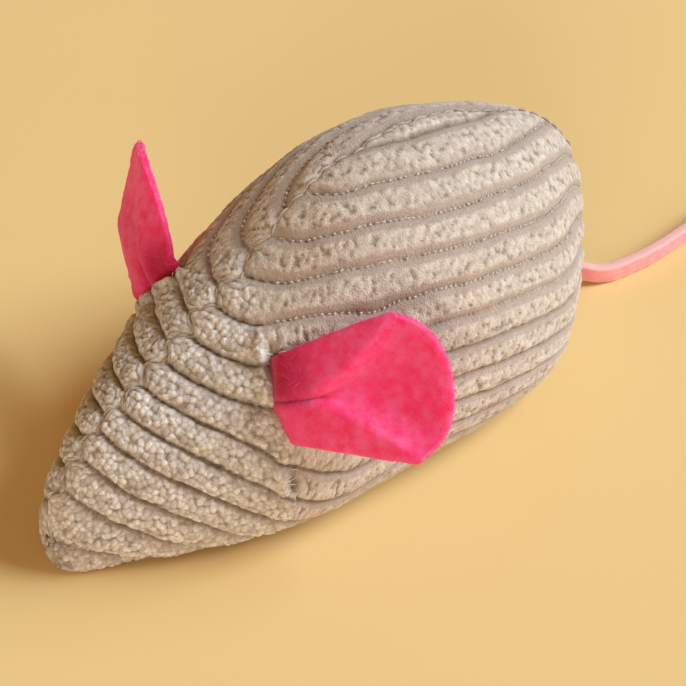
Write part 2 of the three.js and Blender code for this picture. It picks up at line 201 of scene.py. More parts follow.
suede, tree = new_finish("suede_lace_pink")
place = add_node(tree, "ShaderNodeTexCoord")
patches = add_node(tree, "ShaderNodeTexNoise", {
    "Vector": place.outputs["Object"], "Scale": 1 / (NAP_PATCH * MM), "Detail": 3.0,
})
fibres = add_node(tree, "ShaderNodeTexNoise", {
    "Vector": place.outputs["Object"], "Scale": 1 / (NAP_FIBRE * MM), "Detail": 2.0,
})
leaning = add_node(tree, "ShaderNodeMapRange", {
    "Value": patches.outputs["Fac"], "From Min": NOISE_SPAN[0], "From Max": NOISE_SPAN[1],
})
nap = add_node(tree, "ShaderNodeMix", {
    0: leaning.outputs["Result"], 6: linear("#E98A8E"), 7: linear("#F09C9A"),
}, data_type="RGBA")
cut_edge = add_node(tree, "ShaderNodeAttribute", attribute_name="cut")
edged = add_node(tree, "ShaderNodeMix", {
    0: cut_edge.outputs["Fac"], 6: nap.outputs[2], 7: linear("#F3BBB1"),
}, data_type="RGBA")
raised = add_node(tree, "ShaderNodeBump", {
    "Height": fibres.outputs["Fac"], "Strength": 0.5, "Distance": NAP_DEPTH * MM,
})
shade = add_node(tree, "ShaderNodeBsdfPrincipled", {
    "Base Color": edged.outputs[2], "Roughness": 0.92, "Specular IOR Level": 0.2,
    "Sheen Weight": 0.25, "Sheen Roughness": 0.6, "Normal": raised.outputs["Normal"],
})
add_node(tree, "ShaderNodeOutputMaterial", {"Surface": shade.outputs["BSDF"]})
print("suede:", len(tree.nodes), "nodes")

# %% [markdown]
# ## The tail
# The tail is one flat lace that comes out of the rump's seam, lies on its edge on the floor and curls
# round at its free end. A curve with a bevel would do for a round cord, but a flat lace on its edge keeps
# its height upright, so a section of four rounded corners is carried along the route. All of the lace
# swings at the seam and what lies past a second hinge lifts.

# %% Route of the lace
LACE_WIDTH = 2.6
LACE_THICKNESS = 1.6
LACE_CORNER = 0.45
FLOOR_GAP = 0.05
LACE_FLOOR = LACE_WIDTH / 2 + FLOOR_GAP
LACE_INSIDE = 0.5  # length that is caught in the seam
INSIDE_SLANT = 0.7  # share of that length along x and along y
ROOT_ROUTE = [[0, 0], [1.1, 1.5], [2.1, 3.1], [2.85, 5]]
LACE_ROUTE = [[2.95, 5.3], [3.4, 8.6], [3.6, 12], [3.45, 16], [3, 20.5], [2.4, 25], [2.1, 29]]
CURL_RADIUS = 14.5
CURL_END_RADIUS = 8.5
CURL_TURN = 330
CURL_STEPS = 22

tail_exit = np.array(joints["tail_swing"]["pos_m"]) / MM
plan = [[-LACE_INSIDE * INSIDE_SLANT, -LACE_INSIDE * INSIDE_SLANT]] + ROOT_ROUTE + LACE_ROUTE
curl_middle = np.array(LACE_ROUTE[-1]) + [CURL_RADIUS, 0]
for i in range(1, CURL_STEPS + 1):
    share = i / CURL_STEPS
    turn = math.radians(180 - CURL_TURN * share)
    radius = CURL_RADIUS + (CURL_END_RADIUS - CURL_RADIUS) * share
    plan.append((curl_middle + [radius * math.cos(turn), radius * math.sin(turn)]).tolist())
plan = np.array(plan)
fall = smooth(0, len(ROOT_ROUTE) - 1, np.arange(len(plan)) - 1.0)
drop = (tail_exit[2] - LACE_FLOOR) * fall
knots = np.column_stack([plan[:, 0], plan[:, 1], -drop]) + tail_exit
print("route of", len(knots), "points")

# %% Line of the lace
LACE_RINGS = 300
STRETCH_POINTS = 12


def rounded_route(points, count):
    ends = np.vstack([2 * points[0] - points[1], points, 2 * points[-1] - points[-2]])
    line = []
    for i in range(1, len(ends) - 2):
        p0, p1, p2, p3 = ends[i - 1:i + 3]
        for share in np.linspace(0, 1, STRETCH_POINTS, endpoint=False):
            line.append(0.5 * (
                2 * p1 + (p2 - p0) * share + (2 * p0 - 5 * p1 + 4 * p2 - p3) * share ** 2
                + (3 * p1 - p0 - 3 * p2 + p3) * share ** 3
            ))
    line = np.array(line + [points[-1]])
    travel = travelled(line)
    return at_marks(np.linspace(0, travel[-1], count), travel, line), travel[-1]


lace_line, lace_length = rounded_route(knots, LACE_RINGS)
print("tail lace:", round(lace_length, 1), "mm long")

# %% Lace mesh
CORNER_POINTS = 5
LACE_WEAR = ((0.8, 0.07), (2.6, 0.04))  # waves in a millimetre, and how far they move the lace's sides
EDGE_SPAN = (0.75, 1.2)  # heights from the lace's middle where its face turns into the cut edge
EDGE_PALENESS = 0.8


def lace_section():
    corners = []
    for quarter in range(4):
        side = 1 if quarter in (0, 3) else -1
        rise = 1 if quarter in (0, 1) else -1
        for turn in np.linspace(0, math.pi / 2, CORNER_POINTS) + quarter * math.pi / 2:
            corners.append([
                side * (LACE_THICKNESS / 2 - LACE_CORNER) + LACE_CORNER * math.cos(turn),
                rise * (LACE_WIDTH / 2 - LACE_CORNER) + LACE_CORNER * math.sin(turn),
            ])
    return np.array(corners)


section = lace_section()
heading = np.gradient(lace_line, axis=0)
heading[:, 2] = 0
heading = unit(heading)
sideways = np.column_stack([heading[:, 1], -heading[:, 0], np.zeros(LACE_RINGS)])
lace_points = (
    lace_line[:, None, :] + sideways[:, None, :] * section[None, :, :1]
    + np.array([0, 0, 1]) * section[None, :, 1:]
)
for ring in lace_points:
    for point in ring:
        point[:2] += sum(noise.noise(Vector(point) * often) * far for often, far in LACE_WEAR)
on_edge = EDGE_PALENESS * smooth(*EDGE_SPAN, np.abs(section[:, 1])) + np.zeros((LACE_RINGS, 1))
lace_faces = tube_faces(LACE_RINGS, len(section))
tail = new_piece("suede_tail", lace_points, lace_faces, suede, {"cut": on_edge})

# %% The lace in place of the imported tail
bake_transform(tail)
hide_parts("tail_root", "tail_lace")
print("the lace leaves the seam at", np.round(tail_exit, 1), "mm")

# %% [markdown]
# ## The stuffed form
# Before there is cloth there is a form: the shape that the filling presses out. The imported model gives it
# by half widths and heights at even steps from nose to rump, and the same formula is written here again,
# so that the cloth lies where the solids are. A sculpted ball would look as soft, but it would not keep
# to the model's sizes.

# %% Form of the body
BODY_LENGTH = 85
BODY_WIDTH = 40.2
BODY_HEIGHT = 39.6
NOSE_TIP_HEIGHT = 4.5
RUMP_TIP_HEIGHT = 16.5
REST_FLAT = 0.5
WIDTH_SHARES = np.array([0, 0.22, 0.42, 0.71, 0.935, 0.985, 1, 0.845, 0.51, 0.23, 0])
TOP_SHARES = np.array([0.126, 0.265, 0.437, 0.576, 0.757, 0.96, 1, 0.922, 0.808, 0.631, 0.43])
WIDEST_SHARE = 0.32
CROWN_POWER = 1.19
BELLY_POWER = 0.5
NOSE_UNDERCUT = 0.07
RUMP_UNDERCUT = 0.2


def share_at(shares, step):
    spot = np.clip(step, 0, 1) * (len(shares) - 1)
    i = np.clip(np.floor(spot).astype(int), 0, len(shares) - 2)
    t = spot - i
    p0, p1 = shares[np.maximum(i - 1, 0)], shares[i]
    p2, p3 = shares[i + 1], shares[np.minimum(i + 2, len(shares) - 1)]
    v0, v1 = (p2 - p0) / 2, (p3 - p1) / 2
    return (2 * p1 - 2 * p2 + v0 + v1) * t ** 3 + (3 * p2 - 3 * p1 - 2 * v0 - v1) * t ** 2 + v0 * t + p1


def step_at(from_nose):
    return np.arccos(1 - 2 * from_nose / BODY_LENGTH) / np.pi


def body_point(step, angle):
    step, angle = np.broadcast_arrays(np.asarray(step, float), np.asarray(angle, float))
    rise = np.minimum(np.minimum(1, step / NOSE_UNDERCUT), (1 - step) / RUMP_UNDERCUT)
    tip = np.where(step < 0.5, NOSE_TIP_HEIGHT, RUMP_TIP_HEIGHT)
    bottom = (1 - np.sqrt(np.maximum(0, 1 - (1 - rise) ** 2))) * (tip + REST_FLAT) - REST_FLAT
    top = share_at(TOP_SHARES, step) * (BODY_HEIGHT + REST_FLAT) - REST_FLAT
    widest = bottom + (top - bottom) * WIDEST_SHARE
    half_width = np.maximum(0, share_at(WIDTH_SHARES, step)) * BODY_WIDTH / 2
    across, upward = np.cos(angle), np.sin(angle)
    power = np.where(upward > 0, CROWN_POWER, BELLY_POWER)
    x = np.sign(across) * np.abs(across) ** power * half_width
    z = widest + np.where(upward > 0, top - widest, widest - bottom) * upward
    return np.stack([x, -BODY_LENGTH / 2 * np.cos(np.pi * step), z], axis=-1)


def body_normal(step, angle):
    nudge, turn = 0.004, math.radians(1.5)
    along = body_point(np.minimum(step + nudge, 1), angle) - body_point(np.maximum(step - nudge, 0), angle)
    rounding = body_point(step, angle + turn) - body_point(step, angle - turn)
    return unit(np.cross(along, rounding))


print("spine height at the shoulder:", round(float(body_point(0.5, np.pi / 2)[2]), 1), "mm")

# %% [markdown]
# ## A panel laid on the form
# Each side panel runs from the seam along the spine down to the base. Its grid has rows from nose to rump
# and columns down from the spine. They are 0.15 to 0.3 mm apart, closest on the head, which is fine
# enough for the tufts of the pile. The base narrows to a point at both ends, as it does on a sewn mouse.

# %% Grid of a side panel
ROWS = 440
COLUMNS = 216
HEAD_ROW = 0.16
REAR_ROW = 0.3
ROW_CHANGE = (-16, -4)  # y where the rows widen from the head's spacing to the rear's
ROW_LINE = math.radians(35)  # the line along the flank on which the rows are spaced
PANEL_STEPS = (0.004, 0.996)  # a panel stops just short of the nose and the rump
FINE_STEPS = 4000
FINE_TURNS = 400
BASE_SHARE = 0.68
BASE_FRONT_STEP = 0.1
BASE_BACK_STEP = 0.88
BASE_TAPER = 0.09
BASE_ROUNDING = 0.7


def base_edge_angle(step):
    reach = np.minimum(step - BASE_FRONT_STEP, BASE_BACK_STEP - step) / BASE_TAPER
    share = BASE_SHARE * np.sin(np.clip(reach, 0, 1) * np.pi / 2) ** BASE_ROUNDING
    return -np.arccos(share ** (1 / BELLY_POWER))


fine_steps = np.linspace(*PANEL_STEPS, FINE_STEPS)
side_line = body_point(fine_steps, ROW_LINE)
row_gap = HEAD_ROW + (REAR_ROW - HEAD_ROW) * smooth(*ROW_CHANGE, side_line[:-1, 1])
rows_passed = np.concatenate([[0], np.cumsum(np.diff(travelled(side_line)) / row_gap)])
steps = np.interp(np.linspace(0, rows_passed[-1], ROWS), rows_passed, fine_steps)
angles = np.zeros((ROWS, COLUMNS))
girth = np.zeros((ROWS, COLUMNS))
for i, step in enumerate(steps):
    turn = np.linspace(np.pi / 2, base_edge_angle(step), FINE_TURNS)
    down = travelled(body_point(step, turn))
    girth[i] = np.linspace(0, down[-1], COLUMNS)
    angles[i] = np.interp(girth[i], down, turn)
form = body_point(steps[:, None], angles)
form_normal = body_normal(steps[:, None], angles)
along = travelled(form)
to_base = girth[:, -1:] - girth
print("grid of", ROWS, "by", COLUMNS, "- widest girth", round(float(girth.max()), 1), "mm")

# %% [markdown]
# ## Wales
# Corduroy has raised ribs, called wales, with grooves between them. On this mouse they run along the
# flank, bend at the neck and slant down across the head, so the two panels meet at the spine in chevrons.
# A wale number says where a point lies: whole numbers are grooves. On the flank it grows with the
# distance down from the spine, on the head with the distance forward, and the larger of the two counts at
# the neck, where the wales turn. The dart of the ear takes in a wedge of cloth, so one wale ends there:
# an angle round the dart's middle adds one turn.

# %% Sizes of the wales
REAR_PITCH = 4.9
HEAD_PITCH = 4.5
LEFT_GROOVE = (8, 0.0167)  # greatest distance of the first groove from the spine, and how fast it nears it
RIGHT_GROOVE = (1.5, 0.0085)
GROOVE_FARTHEST = 15  # y of that distance
GROOVE_STRAIGHT = -13  # y where the groove stops bowing and goes straight for the spine
GROOVE_SLOPE = 0.3
REAR_NARROWING = (0.94, 0.0375)  # the flank's wales get narrower on their way down
HEAD_START = 5.5
HEAD_SLANT = (0.75, 15)  # how far the head's wales lean, and the girth by which they do
HEAD_NARROWING = 0.002
RIGHT_HEAD_SHIFT = 0.5
WALE_END = (20, -9)  # girth and y where a wale ends under the ear
WALE_END_STRETCH = 3
NECK_ROUNDING = 0.6
BELLY_CHANGE = (-20, 4)  # y where the belly's wales pass from the head's to the flank's
BELLY_GIRTH = (12, 22)
NECK_AT_SPINE = -9
NECK_FORWARD = 9.5  # the neck runs this far forward on its way down
NECK_GIRTH = 9
NECK_CHANGE = (-4, 3)
WALE_WANDER = ((0.07, 6, 0), (0.04, 2.2, 9))  # how far, over what length, and a shift of the noise

neck = NECK_AT_SPINE - NECK_FORWARD * (1 - np.exp(-girth / NECK_GIRTH))
behind_neck = smooth(*NECK_CHANGE, form[..., 1] - neck)
print("the neck runs from y", round(float(neck.max()), 1), "to", round(float(neck.min()), 1), "mm")


# %% Wale numbers
def speckle(points, size, seed):
    scaled = points.reshape(-1, 3) / size + seed
    return np.array([noise.noise(p) for p in scaled.tolist()]).reshape(points.shape[:-1])


def layered(points, layers, seed):
    return sum(height * speckle(points, size, seed + shift) for height, size, shift in layers)


def wale_field(groove, head_shift, seed):
    y = form[..., 1]
    bowed = groove[1] * (np.maximum(y, GROOVE_STRAIGHT) - GROOVE_FARTHEST) ** 2
    first_groove = groove[0] - bowed - GROOVE_SLOPE * np.maximum(0, GROOVE_STRAIGHT - y)
    down = (girth - first_groove) / REAR_PITCH
    rear = down * (REAR_NARROWING[0] + REAR_NARROWING[1] * down)
    forward = HEAD_SLANT[0] * girth ** 2 / (girth + HEAD_SLANT[1]) - y - HEAD_START
    head = forward / HEAD_PITCH + HEAD_NARROWING * forward ** 2 + head_shift
    ended = np.arctan2(girth - WALE_END[0], WALE_END_STRETCH * (y - WALE_END[1])) / (2 * np.pi)
    head = head + 0.5 + ended
    crest = (head + rear + np.hypot(head - rear, NECK_ROUNDING)) / 2
    belly = head + (rear - head) * smooth(*BELLY_CHANGE, y)
    wander = layered(form, WALE_WANDER, seed)
    return crest + (belly - crest) * smooth(*BELLY_GIRTH, girth) + wander


left_wales = wale_field(LEFT_GROOVE, 0, 3.0)
right_wales = wale_field(RIGHT_GROOVE, RIGHT_HEAD_SHIFT, 41.0)
least, most = float(left_wales.min()), float(left_wales.max())
print("wale numbers on the left panel:", round(least, 1), "to", round(most, 1))

# %% [markdown]
# ## Tufts
# The pile stands in tufts. On the head they are small round nodules, and on the flank, where the cloth is
# stretched, they are longer and lean across the wale. A particle system could grow every fibre, but at
# this distance the tufts are what shows, so each is a cell round a point of a jittered grid, and the
# cloth rises in its middle. The grid is skewed on the tapering head, so distances there are measured on
# the cloth itself, and the nodules stay round.

# %% Tuft cells
TUFT_JITTER = 0.8
SCATTER = (127.1, 311.7, 74.7, 4375.85)  # large numbers with nothing in common, so that no two cells match
FAR_AWAY = 9.0


def scatter(i, j, seed):
    value = np.sin(i * SCATTER[0] + j * SCATTER[1] + seed * SCATTER[2]) * SCATTER[3]
    return value - np.floor(value)


def cloth_measure():
    run, fall = np.gradient(form, axis=0), np.gradient(form, axis=1)
    a, b = np.gradient(along)
    c, d = np.gradient(girth)
    whole = np.maximum(a * d - b * c, 1e-6)[..., None]
    per_along = (run * d[..., None] - fall * c[..., None]) / whole
    per_girth = (fall * a[..., None] - run * b[..., None]) / whole
    pairs = ((per_along, per_along), (per_along, per_girth), (per_girth, per_girth))
    return [(first * second).sum(axis=-1) for first, second in pairs]


def tuft_cells(u, v, seed, measure=(1, 0, 1)):
    nearest = np.full(u.shape, FAR_AWAY)
    second = nearest.copy()
    kind = np.zeros(u.shape)
    for du in (-2, -1, 0, 1, 2):
        for dv in (-2, -1, 0, 1, 2):
            i, j = np.floor(u) + du, np.floor(v) + dv
            away_u = i + 0.5 + TUFT_JITTER * (scatter(i, j, seed) - 0.5) - u
            away_v = j + 0.5 + TUFT_JITTER * (scatter(i, j, seed + 5) - 0.5) - v
            distance = np.sqrt(
                measure[0] * away_u ** 2 + 2 * measure[1] * away_u * away_v + measure[2] * away_v ** 2)
            closer = distance < nearest
            second = np.where(closer, nearest, np.minimum(second, distance))
            kind = np.where(closer, scatter(i, j, seed + 11), kind)
            nearest = np.minimum(nearest, distance)
    return nearest, second - nearest, kind


print("cell of the grid at 1, 2:", round(float(scatter(1, 2, 3)), 2))

# %% Tufts of the pile
NODULE = 0.78
NODULE_REACH = 0.74
NODULE_STRAY = (0.3, 0.9)  # share of a nodule by which the grid is bent, and over what length
NODULE_VARIES = 0.45
NODULE_PARTING = (0.2, 0.3)  # how much lower a nodule is where it meets the next, and how near that is
TUFT_LENGTH = 1.1
TUFT_WIDTH = 0.64
TUFT_REACH = 0.72
TUFT_VARIES = 0.3
TUFT_LEAN = 0.45
TUFT_CHANGE = (0.3, 0.8)


def dome(near, reach):
    return np.sqrt(np.clip(1 - (near / reach) ** 2, 0, 1))


def pile_tufts(seed):
    stray = NODULE_STRAY[0] * speckle(form, NODULE_STRAY[1], seed + 21)
    near, gap, kind = tuft_cells(along / NODULE + stray, girth / NODULE - stray, seed, cloth_measure())
    leaning = (along + TUFT_LEAN * girth) / TUFT_WIDTH
    long_near, _, long_kind = tuft_cells(leaning, girth / TUFT_LENGTH, seed + 3)
    lower, parted = NODULE_PARTING
    heads = dome(near, NODULE_REACH) * (1 - NODULE_VARIES + NODULE_VARIES * kind)
    heads = heads * (1 - lower + lower * smooth(0, parted, gap))
    long_heads = dome(long_near, TUFT_REACH) * (1 - TUFT_VARIES + TUFT_VARIES * long_kind)
    mix = smooth(*TUFT_CHANGE, behind_neck)
    return heads + (long_heads - heads) * mix, kind + (long_kind - kind) * mix


print("tufts about", NODULE, "mm on the head and", TUFT_LENGTH, "mm long on the flank")

# %% [markdown]
# ## Relief of the cloth
# The head's wales are plump with narrow grooves. On the flank a wale is nearly flat: tufts stand along
# its middle, and its sides are brushed smooth towards the line of ground threads in each groove. Near the
# belly the wales are round again. Where the panels meet on the spine the edges turn in, deepest where a
# groove reaches the seam, and the ends of the wales bulge to either side of the stitching, so the seam
# zigzags. Each ear is caught in a dart, a slit that pulls the cloth in, and the head's wales swell in
# front of it.

# %% Darts and the seam along the spine
DART_TOP = np.array([9.6, -15.2, 25.4])
DART_LOW = np.array([17.3, -18.2, 10.4])
DART_SPREAD = 0.8
LIP_AHEAD = 1.5
LIP_SPREAD = 0.9
SEAM_DEPTH = 0.25
SEAM_DEEPER = 0.8  # where a groove reaches the seam
SEAM_SWING = 0.75
SEAM_UNEVEN = ((0.3, 2), (1.2, 4), (0.5, 1.6))  # amounts and lengths for its depth, swing and wander
SEAM_CALM = 0.7  # share of the seam's ups and downs that is gone behind the neck


def in_groove(wales, width):
    t = wales % 1
    return np.exp(-(np.minimum(t, 1 - t) * REAR_PITCH / width) ** 2)


def distance_to_dart():
    run = DART_LOW - DART_TOP
    share = np.clip(((form - DART_TOP) @ run) / (run @ run), 0, 1)
    away = form - DART_TOP - share[..., None] * run
    return np.linalg.norm(away, axis=-1) * np.where(away[..., 1] < 0, -1, 1)


from_dart = distance_to_dart()
dart = np.exp(-(from_dart / DART_SPREAD) ** 2)
lip = np.exp(-((from_dart + LIP_AHEAD) / LIP_SPREAD) ** 2)
spine = form[:, :1]
lively = 1 - SEAM_CALM * behind_neck[:, :1]
meeting = (in_groove(left_wales[:, :1], 1) + in_groove(right_wales[:, :1], 1)) / 2
uneven_depth, uneven_swing, wander = (
    amount * speckle(spine, size, seed) for (amount, size), seed in zip(SEAM_UNEVEN, (6.0, 9.0, 12.0)))
spine_depth = SEAM_DEPTH + SEAM_DEEPER * meeting * lively + uneven_depth
spine_swing = SEAM_SWING * np.cos(2 * np.pi * left_wales[:, :1]) * (1 + uneven_swing)
spine_swing = spine_swing * lively + wander
print("the seam is up to", round(float(spine_depth.max()), 1), "mm deep")

# %% Profile of a wale
NOSE_TIP = -42.5  # y where the nose ends
NOSE_FULL = -36  # y where the relief reaches its full height behind the tip
DASH_SPACING = 0.68  # of the ground threads that show in a stretched groove
HEAD_WALE = (-1.2, 1.3, 3.4, 0.6)  # floor of the groove, rise of the wale, and two powers for its shoulders
BELLY_WALE = (-0.75, 0.8, 4, 0.7)
HEAD_LEAN = 0.3
FLANK_FLOOR, FLANK_RISE = -0.3, 0.35
FLANK_SHOULDER = (1, 0.35)
THREAD_BED = (0.2, 0.25)  # depth of a stretched groove under a ground thread, and how much deeper between two
THREAD_BED_WIDTH = 0.24
STRETCH_START, STRETCH_END = (-0.3, 0.1), (3.8, 5.2)  # wale numbers
BAND_ABOVE, BAND_ABOVE_END = (0.72, 0.84), (0.97, 1)  # shares of the way across a wale
BAND_BELOW, BAND_BELOW_END = (0.3, 0.18), (0, 0.04)
HEAD_BAND = 0.35

between_dashes = 0.5 - 0.5 * np.cos(2 * np.pi * along / DASH_SPACING)


def stretched(wales):
    return smooth(*STRETCH_START, wales) * (1 - smooth(*STRETCH_END, wales))


def round_wale(edge, floor, rise, square, blunt):
    return floor + rise * (1 - edge ** square) ** blunt


def wale_profile(wales):
    t = wales % 1
    edge = 1 - 2 * np.minimum(t, 1 - t)
    plump = round_wale(edge, *HEAD_WALE) + HEAD_LEAN * (t - 0.5)
    low = round_wale(edge, *BELLY_WALE)
    bed = (THREAD_BED[0] + THREAD_BED[1] * between_dashes) * in_groove(wales, THREAD_BED_WIDTH)
    flat = FLANK_FLOOR + FLANK_RISE * smooth(*FLANK_SHOULDER, edge) - bed
    rear = low + (flat - low) * stretched(wales)
    return (plump + (rear - plump) * behind_neck) * (0.5 + 0.5 * smooth(NOSE_TIP, NOSE_FULL, form[..., 1]))


def brushed_bands(wales):
    t = wales % 1
    above = behind_neck * stretched(wales) * smooth(*BAND_ABOVE, t) * (1 - smooth(*BAND_ABOVE_END, t))
    below = HEAD_BAND + (1 - HEAD_BAND) * behind_neck
    below = below * smooth(*BAND_BELOW, t) * smooth(*BAND_BELOW_END, t)
    return np.maximum(above, below)


print("a stretched groove shows a thread every", DASH_SPACING, "mm")

# %% Panel surfaces
TUFT_HEIGHT = 0.46
REAR_LOWER, LIP_HIGHER = 0.14, 0.1
BAND_BRUSHED = 0.85  # share of a tuft's height that the brushed bands lack
PANEL_LUMPS = ((0.25, 11, 0), (0.12, 3, 5))
SEAM_FLAT, HEM_FLAT = 1, 1.2  # the relief rises over these distances from the seams
# Painted shade in the grooves and the seam: the groove's half width, how much of it is lifted at a stretched
# groove's threads and between them, and how deep it is in the turned-in seam.
GROOVE_SHADE = 0.42  # half width of the shaded groove
DASH_SHADE = (0.8, 0.7)  # how much paler a stretched groove is at its threads, and how much less between them
PIT_SHADE = (0.1, 0.7)
TUFT_START = 0.3
LEVEL_TUFT = 0.6  # a tuft of this height leaves the cloth where it is
DART_DEPTH = 1.2
LIP_HEIGHT = 0.9
SEAM_ROLL = 1.4
SEAM_BULGE = 1.8
HEM_ROLL = 2
HEM_DEPTH = 1.15
TIP_ROLL = -39  # y where the turned-in edges reach their full depth behind the nose's tip
RUMP_DRAW = 0.3
RUMP_DRAW_SPAN = (26, 36)  # y where the rump is drawn in
LEAST_HEIGHT = 0.05


def quarter_roll(distance, radius):
    share = np.clip(1 - distance / radius, 0, 1)
    return 1 - np.sqrt(1 - share ** 2)


def panel_surface(wales, side, seed):
    y = form[..., 1]
    band = brushed_bands(wales)
    tuft, kind = pile_tufts(seed)
    tuft_height = TUFT_HEIGHT - REAR_LOWER * behind_neck + LIP_HIGHER * lip
    relief = wale_profile(wales)
    relief += tuft_height * (tuft - LEVEL_TUFT) * (1 - BAND_BRUSHED * band) * smooth(0, TUFT_START, girth)
    relief += layered(form, PANEL_LUMPS, seed)
    relief -= RUMP_DRAW * smooth(*RUMP_DRAW_SPAN, y)
    relief = relief * smooth(0, SEAM_FLAT, girth) * smooth(0, HEM_FLAT, to_base)
    relief += LIP_HEIGHT * lip - DART_DEPTH * dart
    past_tip = smooth(NOSE_TIP, TIP_ROLL, y)
    turned_in = np.clip(1 - girth / SEAM_ROLL, 0, 1) ** 2 * past_tip
    relief -= spine_depth * turned_in + HEM_DEPTH * quarter_roll(to_base, HEM_ROLL) * past_tip
    points = form + form_normal * relief[..., None]
    points[..., 0] += side * spine_swing * np.exp(-(girth / SEAM_BULGE) ** 2)
    points[..., 2] = np.maximum(points[..., 2], LEAST_HEIGHT)
    # Painted shade in the grooves, lifted where a ground thread comes up, in the dart and in the turned-in
    # seam.
    paler = behind_neck * stretched(wales) * (DASH_SHADE[0] - DASH_SHADE[1] * between_dashes)
    groove = in_groove(wales, GROOVE_SHADE) * (1 - paler)
    pit = turned_in * (PIT_SHADE[0] + PIT_SHADE[1] * meeting)
    sunk_shade = np.maximum(np.maximum(groove, dart), pit)
    kind = kind * (1 - 0.5 * behind_neck)
    # The tuft measure sets a painted highlight on the tufts' tops and painted shade in the gaps between them.
    return points, {"tuft": tuft, "kind": kind, "band": band, "groove": sunk_shade, "rear": behind_neck}


left_surface, left_measures = panel_surface(left_wales, 1, 3.0)
right_surface, right_measures = panel_surface(right_wales, -1, 41.0)
right_surface = right_surface * [-1, 1, 1]
print("left panel reaches", np.round(left_surface.reshape(-1, 3).max(axis=0), 1), "mm")

# %% [markdown]
# ## Corduroy
# The cloth is a polyester with a cut pile, pale greige. Cut fibre ends scatter light and let a little of
# it through, so it is matt with a faint sheen and its small shadows are soft. The tufts get a painted
# highlight on their tops and painted shade in the gaps between them, the brushed bands show the fibres'
# greyer sides, and the grooves go down to the ground cloth and get painted shade, as do the darts and the
# turned-in seam. Behind the neck, where the cloth is stretched, it is a shade darker.

# %% Corduroy colours
FIBRE = 0.2  # real fibres are much finer: drawn as coarse as they need to show
MOTTLE = 5

corduroy, tree = new_finish("corduroy_greige")
place = add_node(tree, "ShaderNodeTexCoord")
measured = {}
for label in ("tuft", "kind", "band", "groove", "rear"):
    measured[label] = add_node(tree, "ShaderNodeAttribute", attribute_name=label).outputs["Fac"]
fibres = add_node(tree, "ShaderNodeTexNoise", {
    "Vector": place.outputs["Object"], "Scale": 1 / (FIBRE * MM), "Detail": 2.0,
})
mottle = add_node(tree, "ShaderNodeTexNoise", {
    "Vector": place.outputs["Object"], "Scale": 1 / (MOTTLE * MM), "Detail": 2.0,
})
# Painted highlight on the tops of the tufts and painted shade in the gaps between them.
painted_tuft_light = add_node(tree, "ShaderNodeMapRange", {
    "Value": measured["tuft"], "From Min": 0.15, "From Max": 0.85,
})
mottled_share = add_node(tree, "ShaderNodeMapRange", {
    "Value": mottle.outputs["Fac"], "From Min": NOISE_SPAN[0], "From Max": NOISE_SPAN[1], "To Max": 0.3,
})
# Painted shade in the grooves, the darts and the turned-in seam.
painted_sunk_shade = add_node(tree, "ShaderNodeMapRange", {
    "Value": measured["groove"], "From Min": 0.15, "From Max": 1.0, "To Max": 0.75,
})
# The bottom colour is painted shade in the gaps between tufts, #EDE2D8 a painted highlight on their tops, and
# #917E6C painted shade in the grooves, the darts and the turned-in seam.
cloth = linear("#AE9E8D")
for share, colour in (
    (painted_tuft_light.outputs["Result"], "#EDE2D8"),
    (mottled_share.outputs["Result"], "#CBBAAA"),
    (measured["band"], "#C5B4A8"),
    (painted_sunk_shade.outputs["Result"], "#917E6C"),
):
    layer = add_node(tree, "ShaderNodeMix", {0: share, 6: cloth, 7: linear(colour)}, data_type="RGBA")
    cloth = layer.outputs[2]
print("corduroy colours:", len(tree.nodes), "nodes")

# %% Corduroy finish
FIBRE_DEPTH = 0.2
PILE_GLOW = 0.5  # how far light gets in the pile

speckled = add_node(tree, "ShaderNodeMapRange", {
    "Value": fibres.outputs["Fac"], "From Min": 0.3, "From Max": 0.7, "To Min": 0.8, "To Max": 1.1,
})
varied = add_node(tree, "ShaderNodeMapRange", {
    "Value": measured["kind"], "To Min": 0.86, "To Max": 1.03,
})
for share, tone in (
    (1.0, speckled.outputs["Result"]),
    (1.0, varied.outputs["Result"]),
    (measured["rear"], linear("#F8F2EC")),
):
    layer = add_node(
        tree, "ShaderNodeMix", {0: share, 6: cloth, 7: tone}, data_type="RGBA", blend_type="MULTIPLY")
    cloth = layer.outputs[2]
raised = add_node(tree, "ShaderNodeBump", {
    "Height": fibres.outputs["Fac"], "Strength": 0.8, "Distance": FIBRE_DEPTH * MM,
})
shade = add_node(tree, "ShaderNodeBsdfPrincipled", {
    "Base Color": cloth, "Roughness": 0.95, "Specular IOR Level": 0.15,
    "Subsurface Weight": 0.3, "Subsurface Radius": (1, 0.85, 0.7), "Subsurface Scale": PILE_GLOW * MM,
    "Sheen Weight": 0.15, "Sheen Roughness": 0.5, "Normal": raised.outputs["Normal"],
})
add_node(tree, "ShaderNodeOutputMaterial", {"Surface": shade.outputs["BSDF"]})
print("corduroy:", len(tree.nodes), "nodes")

# %% [markdown]
# ## Sewing the panels
# A panel is a closed piece of cloth: the tufted face, a plain back and the turned-in edge between them.
# The back is never seen, so its grid is coarser, and the edge is filled with faces that take several
# points of the face each.

# %% A piece of cloth
BACK_EVERY = 8


def back_lines(count):
    return [*range(0, count - 1, BACK_EVERY), count - 1]


